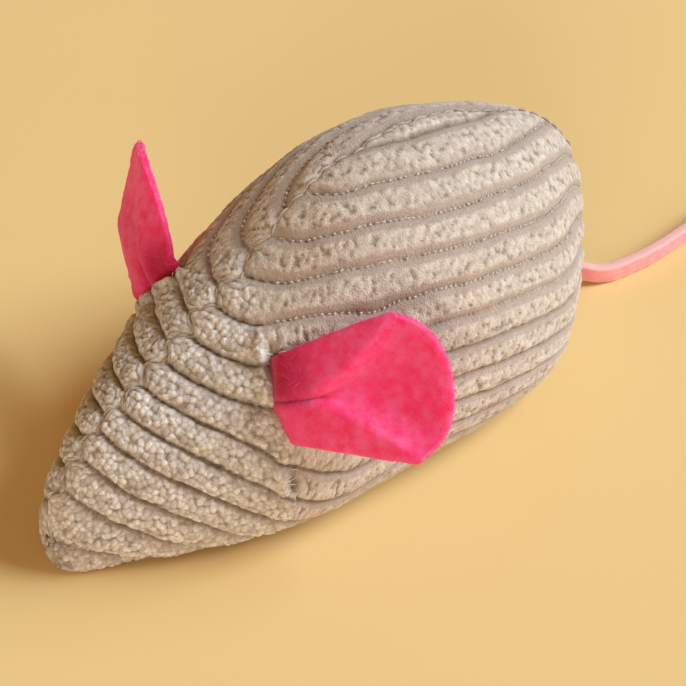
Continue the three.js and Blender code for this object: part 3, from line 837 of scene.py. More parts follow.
def shell_faces(rows, columns, row_lines, column_lines):
    width = len(column_lines)
    first = rows * columns
    low = first + (len(row_lines) - 1) * width
    faces = grid_faces(rows, columns)
    faces += [face[::-1] for face in grid_faces(len(row_lines), width, first)]
    for a in range(width - 1):
        front = list(range(column_lines[a], column_lines[a + 1] + 1))
        last = [(rows - 1) * columns + column for column in front]
        faces.append(front + [first + a + 1, first + a])
        faces.append(last[::-1] + [low + a, low + a + 1])
    for a in range(len(row_lines) - 1):
        front = [row * columns for row in range(row_lines[a], row_lines[a + 1] + 1)]
        last = [point + columns - 1 for point in front]
        back = first + a * width
        faces.append(front[::-1] + [back, back + width])
        faces.append(last + [back + 2 * width - 1, back + width - 1])
    return faces


def sew_cloth(name, surface, measures, back, node):
    rows, columns = surface.shape[:2]
    faces = shell_faces(rows, columns, back_lines(rows), back_lines(columns))
    points = np.vstack([surface.reshape(-1, 3), back.reshape(-1, 3)])
    plain = np.zeros(len(points) - rows * columns)
    measures = {label: np.concatenate([values.ravel(), plain]) for label, values in measures.items()}
    piece = new_piece(name, points, faces, corduroy, measures)
    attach(piece, "body")
    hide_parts(node)
    return piece


print("the back of a panel has", len(back_lines(ROWS)), "by", len(back_lines(COLUMNS)), "points")

# %% Side panels
CLOTH_BACK = 2.2
BACK_SHARE = 0.6  # of the half width, where the body is too narrow for that depth
BACK_HEIGHT = 0.9
BACK_GAP = 0.05

pick = np.ix_(back_lines(ROWS), back_lines(COLUMNS))
depth = np.minimum(CLOTH_BACK, BACK_SHARE * form[..., 0].max(axis=1))
panel_back = (form - form_normal * depth[:, None, None])[pick]
panel_back[..., 2] = np.maximum(panel_back[..., 2], BACK_HEIGHT)
panel_back[..., 0] = np.maximum(panel_back[..., 0], BACK_GAP)
left_side = sew_cloth(
    "left_corduroy_side", left_surface, left_measures, panel_back, "left_side_panel")
right_back = panel_back * [-1, 1, 1]
right_side = sew_cloth(
    "right_corduroy_side", right_surface, right_measures, right_back, "right_side_panel")

# %% [markdown]
# ## The base
# The base is a boat-shaped piece of the same cloth, sewn in between the side panels and pressed flat
# where the mouse lies. Its wales run lengthwise. Only the seam round it could ever show, so its grid is
# coarser than the sides'.

# %% Base panel
BASE_ROWS = 240
BASE_COLUMNS = 120
BASE_PITCH = 5.2
BASE_END = 0.002
BASE_GROOVE = 0.4
BASE_GROOVE_DEPTH = 0.5
BASE_TUFT_REACH = 0.66
BASE_TUFT_HEIGHT = 0.2
BASE_BACK = 1.9
BASE_BACK_SHARE = 0.96

base_steps = np.linspace(BASE_FRONT_STEP + BASE_END, BASE_BACK_STEP - BASE_END, BASE_ROWS)[:, None]
edge_angle = base_edge_angle(base_steps)
base_edge = body_point(base_steps, edge_angle)
across_share = np.linspace(1, -1, BASE_COLUMNS)[None, :]
base_share = np.cos(edge_angle) ** BELLY_POWER * np.abs(across_share)
base_angle = -np.arccos(np.clip(base_share ** (1 / BELLY_POWER), 0, 1))
base_form = body_point(base_steps, base_angle)
base_form[..., 0] *= np.sign(across_share)
base_normal = body_normal(base_steps, base_angle)
base_normal[..., 0] *= np.sign(across_share)
base_t = (base_form[..., 0] / BASE_PITCH + 0.5) % 1
base_groove = np.exp(-(np.minimum(base_t, 1 - base_t) * BASE_PITCH / BASE_GROOVE) ** 2)
near_edge = (1 - np.abs(across_share)) * np.abs(base_edge[..., 0])
near, _, base_kind = tuft_cells(base_form[..., 0] / NODULE, base_form[..., 1] / NODULE, 7)
base_tuft = dome(near, BASE_TUFT_REACH)
base_relief = BASE_TUFT_HEIGHT * (base_tuft - 1) - BASE_GROOVE_DEPTH * base_groove
base_relief = base_relief * smooth(0, HEM_FLAT, near_edge)
base_relief -= HEM_DEPTH * quarter_roll(near_edge, HEM_ROLL)
base_surface = base_form + base_normal * base_relief[..., None]
base_surface[..., 2] = np.maximum(base_surface[..., 2], LEAST_HEIGHT)
plain = 0 * base_tuft
# On the base too: painted highlight on the tufts' tops and painted shade in the grooves.
base_measures = {"tuft": base_tuft, "kind": base_kind, "band": plain, "groove": base_groove, "rear": plain}
pick = np.ix_(back_lines(BASE_ROWS), back_lines(BASE_COLUMNS))
base_back = (base_form * [BASE_BACK_SHARE, 1, 1] + [0, 0, BASE_BACK])[pick]
sew_cloth("corduroy_base", base_surface, base_measures, base_back, "base_panel")

# %% [markdown]
# ## The filling
# Inside are two handfuls of polyester fibrefill, springy crimped fibres that clump into soft lumps, with
# a lump of dried catnip pressed between them. Nobody sees them in a whole mouse, but they hold its shape,
# and a cut seam would show them. Each handful is a ring-shaped grid inside the cloth, dished where the
# catnip lies.

# %% Fibrefill finish
CRIMP = 0.8
CRIMP_DEPTH = 0.4

fibrefill, tree = new_finish("polyester_fibrefill")
place = add_node(tree, "ShaderNodeTexCoord")
crimp = add_node(tree, "ShaderNodeTexNoise", {
    "Vector": place.outputs["Object"], "Scale": 1 / (CRIMP * MM), "Detail": 4.0, "Distortion": 2.0,
})
clumped = add_node(tree, "ShaderNodeMix", {
    0: crimp.outputs["Fac"], 6: linear("#E3E0D8"), 7: linear("#FAF8F3"),
}, data_type="RGBA")
raised = add_node(tree, "ShaderNodeBump", {
    "Height": crimp.outputs["Fac"], "Strength": 0.7, "Distance": CRIMP_DEPTH * MM,
})
shade = add_node(tree, "ShaderNodeBsdfPrincipled", {
    "Base Color": clumped.outputs[2], "Roughness": 0.8, "Sheen Weight": 0.3,
    "Normal": raised.outputs["Normal"],
})
add_node(tree, "ShaderNodeOutputMaterial", {"Surface": shade.outputs["BSDF"]})
print("fibrefill:", len(tree.nodes), "nodes")

# %% Dried leaf finish
LEAF_CRUMB = 1.1
CRUMB_DEPTH = 0.5

dried_leaf, tree = new_finish("dried_catnip_leaf")
place = add_node(tree, "ShaderNodeTexCoord")
crumbs = add_node(tree, "ShaderNodeTexVoronoi", {
    "Vector": place.outputs["Object"], "Scale": 1 / (LEAF_CRUMB * MM),
})
crumb_tone = add_node(tree, "ShaderNodeSeparateColor", {"Color": crumbs.outputs["Color"]})
leafy = add_node(tree, "ShaderNodeMix", {
    0: crumb_tone.outputs["Red"], 6: linear("#5E6B38"), 7: linear("#98A06A"),
}, data_type="RGBA")
raised = add_node(tree, "ShaderNodeBump", {
    "Height": crumbs.outputs["Distance"], "Strength": 0.8, "Distance": CRUMB_DEPTH * MM,
})
shade = add_node(tree, "ShaderNodeBsdfPrincipled", {
    "Base Color": leafy.outputs[2], "Roughness": 0.9, "Normal": raised.outputs["Normal"],
})
add_node(tree, "ShaderNodeOutputMaterial", {"Surface": shade.outputs["BSDF"]})
print("dried leaf:", len(tree.nodes), "nodes")

# %% Handfuls of fibre
CATNIP_HALF = np.array([8, 11, 6])
CATNIP_PLACE = np.array([0, 4.5, 16])
CATNIP_ROOM = 0.4
FILL_DEPTH = 2.7
FILL_RINGS = 44
FILL_SIDES = 64
FILL_TIPS = (0.14, 0.9)  # steps where the head's handful starts and the rump's ends
FILL_PARTING = 0.002
FILL_LUMP = 0.35  # mean depth of the hollows between its lumps
FILL_LUMPS = ((0.35, 5, 0), (0.25, 1.8, 4))
DISH_SHARES = (0.92, 0.8, 0.66, 0.5, 0.34, 0.18)


def dished(rim, forward):
    room = CATNIP_HALF + CATNIP_ROOM
    middle = CATNIP_PLACE * [0, 0, 1] + rim[:, 1].mean() * np.array([0, 1, 0])
    dish = []
    for share in DISH_SHARES:
        ring = middle + (rim - middle) * share
        reach = ((ring - CATNIP_PLACE) / room)[:, [0, 2]]
        ring[:, 1] += forward * room[1] * np.sqrt(np.clip(1 - (reach ** 2).sum(axis=1), 0, 1))
        dish.append(ring)
    return np.array(dish)


def handful(name, node, tip_step, cut_step, seed):
    turns = np.linspace(0, 2 * np.pi, FILL_SIDES, endpoint=False)
    ring_steps = np.linspace(tip_step, cut_step, FILL_RINGS)[:, None]
    rings = body_point(ring_steps, turns) - body_normal(ring_steps, turns) * FILL_DEPTH
    inward = unit(CATNIP_PLACE * [0, 0, 1] + rings[:, :1] * [0, 1, 0] - rings)
    lumps = FILL_LUMP + layered(rings, FILL_LUMPS, seed)
    rings = rings + inward * np.clip(lumps, 0, 1)[..., None]
    rings[..., 2] = np.maximum(rings[..., 2], FILL_DEPTH)
    rings = np.concatenate([rings, dished(rings[-1], 1 if cut_step < tip_step else -1)])
    piece = new_piece(name, rings, tube_faces(len(rings), FILL_SIDES), fibrefill)
    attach(piece, "body")
    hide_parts(node)


cut = step_at(BODY_LENGTH / 2 + CATNIP_PLACE[1])
handful("head_fibrefill", "head_stuffing", FILL_TIPS[0], cut - FILL_PARTING, 5.0)
handful("rump_fibrefill", "rump_stuffing", FILL_TIPS[1], cut + FILL_PARTING, 19.0)

# %% Lump of catnip
LUMP_RINGS = 36
LUMP_SIDES = 72
LUMP_REACH = 0.48 * np.pi  # how near the rings go to the poles
LUMP_SIZE = 0.93
LUMP_CRUMBS = ((0.05, 0.24, 8), (0.04, 0.09, 2))

turns = np.linspace(0, 2 * np.pi, LUMP_SIDES, endpoint=False)[None, :]
rises = np.linspace(-LUMP_REACH, LUMP_REACH, LUMP_RINGS)[:, None]
ball = np.stack([
    np.cos(rises) * np.cos(turns), np.cos(rises) * np.sin(turns), np.sin(rises) + 0 * turns,
], axis=-1)
crumble = LUMP_SIZE + layered(ball, LUMP_CRUMBS, 0)
lump = CATNIP_PLACE + ball * CATNIP_HALF * crumble[..., None]
catnip = new_piece("catnip_lump", lump, tube_faces(LUMP_RINGS, LUMP_SIDES), dried_leaf)
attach(catnip, "body")
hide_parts("dried_catnip")

# %% [markdown]
# ## Felt
# Craft felt is a sheet of matted fibres, pressed and dyed hot pink. It has no weave: the eye sees a soft
# matt face, cloudy where the fibres are denser, with paler fibres lying on top in short streaks. It is
# thin enough for some light to come through. Near the dart it gets painted shade, deeper on one side of
# the pinch. The streaks lie in the sheet, so each point of an ear carries its place on the flat cut.

# %% Fibres of the felt
FELT_STREAK = (1.8, 0.2)  # length and width: real fibres are finer, drawn as coarse as they need to show
FELT_LEANS = (0.5, 2.3)
FELT_CLOUD = 1.5
FELT_FUZZ = 0.25

felt, tree = new_finish("pressed_felt_pink")
place = add_node(tree, "ShaderNodeTexCoord")
measured = {}
for label in ("reach", "side", "pressed"):
    measured[label] = add_node(tree, "ShaderNodeAttribute", attribute_name=label).outputs["Fac"]
flat_place = add_node(tree, "ShaderNodeCombineXYZ", {"X": measured["reach"], "Y": measured["side"]})
clouds = add_node(tree, "ShaderNodeTexNoise", {
    "Vector": place.outputs["Object"], "Scale": 1 / (FELT_CLOUD * MM), "Detail": 4.0,
})
fuzz = add_node(tree, "ShaderNodeTexNoise", {
    "Vector": place.outputs["Object"], "Scale": 1 / (FELT_FUZZ * MM), "Detail": 2.0,
})
streaks = []
for lean in FELT_LEANS:
    laid = add_node(tree, "ShaderNodeMapping", {
        "Vector": flat_place.outputs["Vector"], "Rotation": (0, 0, lean), "Scale": (*FELT_STREAK, 1),
    }, vector_type="TEXTURE")
    streaks.append(add_node(tree, "ShaderNodeTexNoise", {
        "Vector": laid.outputs["Vector"], "Scale": 1.0, "Detail": 1.0, "Distortion": 0.4,
    }))
crossed = add_node(tree, "ShaderNodeMath", {
    0: streaks[0].outputs["Fac"], 1: streaks[1].outputs["Fac"],
}, operation="MAXIMUM")
matted = add_node(tree, "ShaderNodeMath", {
    0: fuzz.outputs["Fac"], 1: crossed.outputs["Value"],
}, operation="ADD")
print("fibres of the felt:", len(tree.nodes), "nodes")

# %% Felt finish
FELT_ROUGHNESS = 0.17
FELT_GLOW = 2.4  # how far light gets in the felt

pale_fibres = add_node(tree, "ShaderNodeMapRange", {
    "Value": crossed.outputs["Value"], "From Min": 0.55, "From Max": 0.85, "To Max": 0.35,
})
cloudy = add_node(tree, "ShaderNodeMapRange", {
    "Value": clouds.outputs["Fac"], "From Min": NOISE_SPAN[0], "From Max": NOISE_SPAN[1],
})
dye = linear("#FD3D76")
for share, colour in (
    (cloudy.outputs["Result"], "#FF6397"),
    # Painted shade near the dart, deeper on one side of the pinch.
    (measured["pressed"], "#BC254B"),
    (pale_fibres.outputs["Result"], "#FF6F98"),
):
    layer = add_node(tree, "ShaderNodeMix", {0: share, 6: dye, 7: linear(colour)}, data_type="RGBA")
    dye = layer.outputs[2]
raised = add_node(tree, "ShaderNodeBump", {
    "Height": matted.outputs["Value"], "Strength": 0.7, "Distance": FELT_ROUGHNESS * MM,
})
shade = add_node(tree, "ShaderNodeBsdfPrincipled", {
    "Base Color": dye, "Roughness": 0.95, "Specular IOR Level": 0.1,
    "Subsurface Weight": 0.85, "Subsurface Radius": (1, 0.35, 0.45), "Subsurface Scale": FELT_GLOW * MM,
    "Sheen Weight": 0.35, "Sheen Roughness": 0.5, "Sheen Tint": linear("#FF9FBC"),
    "Normal": raised.outputs["Normal"],
})
add_node(tree, "ShaderNodeOutputMaterial", {"Surface": shade.outputs["BSDF"]})
print("felt:", len(tree.nodes), "nodes")

# %% [markdown]
# ## The ears
# Each ear is a rounded piece of felt, pinched at its base into a pleat and caught in the dart. Two ridges
# run out from the pinch to the corners, with a bowl between them and a wing on either side. Cloth
# simulation could fold a flat cut, but the imported model already gives the folded form by a formula, so it
# is written here again with finer rows, rounded ridges, a deeper pinch and a cut edge, and its base goes
# down into the dart. The two are cut by hand, so each has its own length, width, depth of bowl, fullness
# of the rim, rounding of the corners and softness of the folds. As an ear flaps, its felt bends in a
# short band at the sewn line.

# %% Where an ear is sewn in
FELT = 1.2
WING_DROP = 2.4
EAR_TOP = (step_at(27), math.radians(52.6))
EAR_LOW = (step_at(24.8), math.radians(25.8))
EAR_GAP = 0.3


def ear_axes(lift):
    turn = math.radians(lift)
    top, low = body_point(*EAR_TOP), body_point(*EAR_LOW)
    across = unit(top - low)
    normal = body_normal((EAR_TOP[0] + EAR_LOW[0]) / 2, (EAR_TOP[1] + EAR_LOW[1]) / 2)
    level = unit(np.cross(across, normal))
    off = np.cross(level, across)
    height = EAR_GAP + (FELT + WING_DROP) / 2 * math.cos(turn)
    origin = (top + low) / 2 + off * height
    outward = level * math.cos(turn) + off * math.sin(turn)
    upward = off * math.cos(turn) - level * math.sin(turn)
    return origin, outward, across, upward


print("the left ear is sewn in round", np.round(ear_axes(0)[0], 1), "mm")

# %% Folds of an ear
EAR_BASE = 10
EAR_CORNER = 15.6
EAR_ROWS = 70
EAR_HALF_COLUMNS = 44
EDGE_START = 0.95
EDGE_STEPS = np.array([0, 0.004, 0.012, 0.024, 0.04])  # closer lines at the cut edge
IN_DART = 0.09
PLEAT_CLOSED = 2
PLEAT_CURVE = 1.2
PLEAT_ROUNDS = 6
LEAST_RIDGE, MOST_RIDGE = 0.06, 0.94
CORNER_REACH = 6


def ear_grid():
    edge = 1 - EDGE_STEPS[::-1]
    to_tip = np.concatenate([np.linspace(-IN_DART, EDGE_START, EAR_ROWS), edge])
    half = np.concatenate([np.linspace(0, EDGE_START, EAR_HALF_COLUMNS), edge])
    return to_tip[:, None], np.concatenate([-half[:0:-1], half])[None, :]


def ear_reach(to_tip, edge_share, length, rim_power):
    full = np.clip(1 - edge_share ** 2, 0, 1) ** rim_power
    return to_tip * (EAR_CORNER + (length - EAR_CORNER) * full)


def ear_ridge(to_tip, length, rim_power):
    ridge = np.full_like(to_tip, LEAST_RIDGE)
    for _ in range(PLEAT_ROUNDS):
        along_ridge = ear_reach(to_tip, ridge, length, rim_power)
        opened = np.clip((along_ridge - PLEAT_CLOSED) / (EAR_CORNER - PLEAT_CLOSED), 0, 1)
        ridge = np.clip((ridge + opened ** PLEAT_CURVE) / 2, LEAST_RIDGE, MOST_RIDGE)
    return ridge


def kept_at_corners(to_tip, column, edge_share, rounded):
    drawn_in = np.where(column > 0, *rounded)
    start = 1 - CORNER_REACH * drawn_in / (1 - drawn_in)
    near_corner = np.clip((edge_share - start) / (1 - start), 0, 1)
    near_corner = near_corner * np.clip((to_tip - start) / (1 - start), 0, 1)
    return 1 - drawn_in * near_corner ** 2


def soften_folds(points, rounds):
    edge = len(EDGE_STEPS)
    for _ in range(rounds):
        middle = (points[2:, 1:-1] + points[:-2, 1:-1] + points[1:-1, 2:] + points[1:-1, :-2]) / 4
        points[1:-edge, edge:-edge] = middle[:1 - edge, edge - 1:1 - edge]


def sheet_normals(points):
    rows, columns = points.shape[:2]
    edge = len(EDGE_STEPS) + 1
    normals = np.cross(np.gradient(points, axis=0), np.gradient(points, axis=1))
    normals = normals[np.clip(np.arange(rows), 0, rows - 1 - edge)]
    return unit(normals[:, np.clip(np.arange(columns), edge, columns - 1 - edge)])


print("an ear's grid has", ear_grid()[0].size, "by", ear_grid()[1].size, "points")

# %% Sheet of an ear
EAR_HANG = 0.5
RIDGE_FALL = 1.2
BOWL_TURN = 0.85
PINCH_DEPTH = 1.2
PINCH_SPAN = (8, 1)  # distances from the sewn line where the pinch begins and is deepest
TUCK = 2.8
TUCK_SPAN = (1.2, -1.6)
# Painted shade on the felt near the dart: how far it reaches, which side it is deeper on, and how much of it
# the other side keeps.
DART_SHADE_SPAN = (7, 1)
DART_SHADE_SIDE = (-2, 2)
DART_SHADE_LEAST = 0.25
RIM_THICKNESS = 0.5  # as a share of the felt's
ROUNDED_EDGE = 0.6
FELT_LUMPS = ((0.16, 4, 0), (0.1, 1.3, 0), (0.05, 0.7, 0))


def ear_sheet(lift, twist, length, width, depth, rim_power, rounded, softened, seed):
    to_tip, column = ear_grid()
    ridge = ear_ridge(to_tip, length, rim_power)
    in_bowl = np.abs(column) * 2 + 0 * to_tip
    edge_share = np.where(in_bowl < 1, ridge * in_bowl, ridge + (1 - ridge) * (in_bowl - 1))
    reach = ear_reach(to_tip, edge_share, length, rim_power)
    opened = np.clip(reach / EAR_CORNER, 0, 1)
    kept = kept_at_corners(to_tip, column, edge_share, rounded)
    reach = reach * kept
    half_width = (EAR_BASE + (width - EAR_BASE) * opened) / 2
    bowl = depth * np.sin(np.pi * BOWL_TURN * ridge) + PINCH_DEPTH * smooth(*PINCH_SPAN, reach)
    out = WING_DROP / 2 - RIDGE_FALL * np.clip(to_tip, 0, 1) - bowl * np.clip(1 - in_bowl ** 3, 0, 1)
    out = out - TUCK * smooth(*TUCK_SPAN, reach)
    out = out - WING_DROP * np.clip(edge_share - ridge, 0, 1)
    side = np.sign(column) * edge_share * half_width * kept - EAR_HANG * opened
    turn = math.radians(twist) * np.clip(to_tip, 0, 1)
    turned_side = side * np.cos(turn) - out * np.sin(turn)
    turned_out = out * np.cos(turn) + side * np.sin(turn)
    origin, *axes = ear_axes(lift)
    points = origin + np.stack([reach, turned_side, turned_out], axis=-1) @ np.array(axes)
    soften_folds(points, softened)
    normals = sheet_normals(points)
    points += normals * layered(points, FELT_LUMPS, seed)[..., None]
    from_rim = np.minimum((1 - edge_share) * half_width, (1 - to_tip) * length)
    shoulder = np.clip(1 - from_rim / ROUNDED_EDGE, 0, 1)
    thick = FELT / 2 * (RIM_THICKNESS + (1 - RIM_THICKNESS) * np.sqrt(1 - shoulder ** 2))
    # Painted shade on the felt near the sewn line, deeper on one side of the pinch.
    pressed = DART_SHADE_LEAST + (1 - DART_SHADE_LEAST) * smooth(*DART_SHADE_SIDE, side)
    pressed = pressed * smooth(*DART_SHADE_SPAN, reach)
    return points, normals * thick[..., None], {"reach": reach, "side": side, "pressed": pressed}


print("felt", FELT, "mm thick, with lumps of", [size for _, size, _ in FELT_LUMPS], "mm")


def rim_points(rows, columns):
    rim = list(range(columns))
    rim += [row * columns + columns - 1 for row in range(1, rows)]
    rim += [(rows - 1) * columns + column for column in range(columns - 2, -1, -1)]
    return rim + [row * columns for row in range(rows - 2, 0, -1)]


def sheet_area(points):
    down, over = points[1:, :-1] - points[:-1, :-1], points[:-1, 1:] - points[:-1, :-1]
    return np.linalg.norm(np.cross(down, over), axis=-1).sum()


def cut_ear(name, node, side, shape):
    middle, offset, flat = ear_sheet(**shape)
    mirror = np.array([side, 1, 1])
    rows, columns = middle.shape[:2]
    points = np.vstack([(middle + offset).reshape(-1, 3), (middle - offset).reshape(-1, 3)]) * mirror
    count = rows * columns
    faces = grid_faces(rows, columns) + [face[::-1] for face in grid_faces(rows, columns, count)]
    rim = rim_points(rows, columns)
    faces += [[a, b, b + count, a + count] for a, b in zip(rim, rim[1:] + rim[:1])]
    flat = {label: np.concatenate([values.ravel()] * 2) for label, values in flat.items()}
    ear = new_piece(name, points, faces, felt, flat)
    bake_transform(ear)
    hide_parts(node)
    return ear, sheet_area(middle), middle * mirror, offset * mirror


# %% Left and right ear
EAR_SHAPES = {
    "left": {
        "lift": 18, "twist": 0, "length": 19.8, "width": 18.3, "depth": 2.6, "rim_power": 0.8,
        "rounded": (0.08, 0.07), "softened": 3, "seed": 2.0,
    },
    "right": {
        "lift": 38, "twist": 15, "length": 18.3, "width": 17.3, "depth": 1.5, "rim_power": 0.5,
        "rounded": (0.09, 0.17), "softened": 120, "seed": 30.0,
    },
}

ear_sheets = {}
for hand, side, panel in (("left", 1, left_side), ("right", -1, right_side)):
    node = hand + "_ear"
    ear, area, *sheet = cut_ear(hand + "_felt_ear", node, side, EAR_SHAPES[hand])
    ear_sheets[node] = sheet
    print(ear.name, "has", round(float(area)), "mm2 of felt")

# %% [markdown]
# ## Threads
# Three kinds of thread show. The ground threads of the cloth come up as a line of pale dashes along each
# stretched groove. The seam stitches sit deep between the panels. White ends of thread stick out above
# and below each ear, where its dart was sewn. Spun thread is a twist of fibres, a little smoother than
# the cloth, with darker hollows between its plies, and the felt's loose fibres get the same finish in
# pink. Each stitch is a short arched sausage, so one function makes them all from their places.

# %% Thread finishes
THREAD_FUZZ = 0.3

threads = {}
for name, dark, pale in (
    ("polyester_seam_thread", "#A08D79", "#BFAE9B"),
    ("white_sewing_thread", "#D9D4CC", "#F4F1EC"),
    ("ground_thread", "#BFB2A5", "#EDE5DC"),
    ("loose_felt_fibre", "#EE4A77", "#FB7C9F"),
):
    material, tree = new_finish(name)
    place = add_node(tree, "ShaderNodeTexCoord")
    plies = add_node(tree, "ShaderNodeTexNoise", {
        "Vector": place.outputs["Object"], "Scale": 1 / (THREAD_FUZZ * MM), "Detail": 2.0,
    })
    twisted = add_node(tree, "ShaderNodeMix", {
        0: plies.outputs["Fac"], 6: linear(dark), 7: linear(pale),
    }, data_type="RGBA")
    shade = add_node(tree, "ShaderNodeBsdfPrincipled", {
        "Base Color": twisted.outputs[2], "Roughness": 0.6, "Specular IOR Level": 0.35,
    })
    add_node(tree, "ShaderNodeOutputMaterial", {"Surface": shade.outputs["BSDF"]})
    threads[name] = material
print("threads:", len(threads), "finishes")

# %% Stitches
STITCH_SHARES = np.array([-1, -0.8, -0.35, 0, 0.35, 0.8, 1])  # rings from one end of a stitch to the other
STITCH_SIDES = 6
STITCH_BLUNTNESS = 1.08


def stitches(name, places, runs, lifts, length, radius, material, node=None, body="body"):
    places, runs, lifts = (np.asarray(values, float)[:, None, None, :] for values in (places, runs, lifts))
    runs = unit(runs)
    sides = unit(np.cross(runs, lifts))
    lifts = np.cross(sides, runs)
    share = STITCH_SHARES[None, :, None, None]
    turn = np.linspace(0, 2 * np.pi, STITCH_SIDES, endpoint=False)[None, None, :, None]
    length, radius = (np.asarray(values, float).reshape(-1, 1, 1, 1) for values in (length, radius))
    thick = radius * np.sqrt(STITCH_BLUNTNESS - share ** 2)
    points = places + runs * share * length / 2 + lifts * (1 - share ** 2) * radius
    points = points + thick * (np.cos(turn) * lifts + np.sin(turn) * sides)
    rings = len(STITCH_SHARES)
    faces = []
    for i in range(len(points)):
        faces += tube_faces(rings, STITCH_SIDES, i * rings * STITCH_SIDES)
    piece = new_piece(name, points, faces, material)
    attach(piece, body)
    if node:
        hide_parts(node)


print("a stitch has", len(STITCH_SHARES) * STITCH_SIDES, "points")

# %% Ground threads in the stretched grooves
DASH_LENGTH = 0.5
DASH_RADIUS = 0.09
DASH_VARIES = (0.6, 1.2)
DASH_STRAY = 0.12
DASH_LEAN = 0.35
DASH_RAISED = 0.06
DASH_SHARE = 0.85  # the rest of the threads stay hidden
STRETCHED_FROM = 0.75
LEAST_ROWS = 20
LOOK_AHEAD = 0.5


def groove_line(wales, number):
    places = []
    for i in range(ROWS):
        crossing = np.flatnonzero((wales[i, :-1] < number) & (wales[i, 1:] >= number))
        if len(crossing) and behind_neck[i, crossing[0]] > STRETCHED_FROM:
            j = crossing[0]
            share = (number - wales[i, j]) / (wales[i, j + 1] - wales[i, j])
            places.append((i, j, share))
    return places


def ground_threads(name, surface, wales, side, numbers, seed):
    places, runs, lifts = [], [], []
    chance = np.random.default_rng(seed)
    for number in numbers:
        spots = groove_line(wales, number)
        if len(spots) < LEAST_ROWS:
            continue
        line = np.array([surface[i, j] * (1 - s) + surface[i, j + 1] * s for i, j, s in spots])
        normals = np.array([form_normal[i, j] for i, j, _ in spots]) * [side, 1, 1]
        upward = np.array([form[i, j - 3] - form[i, j] for i, j, _ in spots]) * [side, 1, 1]
        travel = np.array([along[i, j] for i, j, _ in spots])
        marks = np.arange(math.ceil(travel[0] / DASH_SPACING), travel[-1] / DASH_SPACING) * DASH_SPACING
        marks = marks + chance.uniform(-DASH_STRAY, DASH_STRAY, len(marks))
        marks = marks[chance.uniform(size=len(marks)) < DASH_SHARE]
        at, lift, climb = (at_marks(marks, travel, values) for values in (line, normals, upward))
        ahead = at_marks(marks + LOOK_AHEAD, travel, line)
        leaning = unit(climb) * chance.uniform(0, DASH_LEAN, (len(marks), 1))
        places.append(at + lift * DASH_RAISED)
        runs.append(ahead - at + leaning + [0.0, 1e-6, 0.0])
        lifts.append(lift)
    places, runs, lifts = np.vstack(places), np.vstack(runs), np.vstack(lifts)
    lengths = DASH_LENGTH * chance.uniform(*DASH_VARIES, len(places))
    radii = DASH_RADIUS * chance.uniform(*DASH_VARIES, len(places))
    stitches(name, places, runs, lifts, lengths, radii, threads["ground_thread"])


ground_threads("left_ground_threads", left_surface, left_wales, 1, (0, 1, 2, 3), 11)
ground_threads("right_ground_threads", right_surface, right_wales, -1, (1, 2, 3, 4), 12)

# %% Seam stitches
STITCH_PITCH = 2.4
STITCH_LENGTH = 1.7
SEAM_THREAD_RADIUS = 0.2
SEAM_END = 1.5
TIP_ROWS = 12  # rows at either tip without a stitch
BASE_SEAM_END = 0.02
BASE_SEAM_IN, BASE_SEAM_UP = 0.3, 0.25


def seam_stitches(name, line, normals, node):
    travel = travelled(line)
    marks = np.arange(SEAM_END, travel[-1] - SEAM_END, STITCH_PITCH)
    at, lift = (at_marks(marks, travel, values) for values in (line, normals))
    ahead = at_marks(marks + LOOK_AHEAD, travel, line) - at
    thread = threads["polyester_seam_thread"]
    stitches(name, at, ahead, lift, STITCH_LENGTH, SEAM_THREAD_RADIUS, thread, node)


inner = slice(TIP_ROWS, ROWS - TIP_ROWS)
spine_normals = form_normal[inner, 0] * [0, 1, 1]
seam_stitches("spine_stitches", left_surface[inner, 0], spine_normals, "spine_seam_thread")
base_rows = (steps > BASE_FRONT_STEP + BASE_SEAM_END) & (steps < BASE_BACK_STEP - BASE_SEAM_END)
for name, surface, side in (("left_base", left_surface, 1), ("right_base", right_surface, -1)):
    hem = surface[base_rows, -1] + [-BASE_SEAM_IN * side, 0, BASE_SEAM_UP]
    hem_normals = form_normal[base_rows, -1] * [side, 1, 1]
    seam_stitches(name + "_stitches", hem, hem_normals, name + "_seam_thread")

# %% Dart stitches and loose ends at the ears
DART_THREAD_RADIUS = 0.045
DART_STITCHES = 9
DART_STITCH_LENGTH = 1.4
DART_STITCH_SPAN = (0.04, 0.96)
DART_STITCH_RAISED = 0.1
DART_STITCH_SLANT = 0.3
LOOSE_ENDS = ((DART_TOP, 5), (DART_LOW + [-0.2, -0.1, 1.2], 9))  # places and counts
LOOSE_END_SPREAD = 0.9
LOOSE_END_LENGTHS = (0.5, 1.2)
LOOSE_END_RUN = np.array([0.4, 0.8, 0.5])
LOOSE_END_TOSS = 0.7
LOOSE_END_LYING = 0.85
LOOSE_END_RAISED = 0.2


def on_panel(point):
    apart = np.linalg.norm(left_surface - point, axis=-1)
    i, j = np.unravel_index(np.argmin(apart), apart.shape)
    return left_surface[i, j], form_normal[i, j]


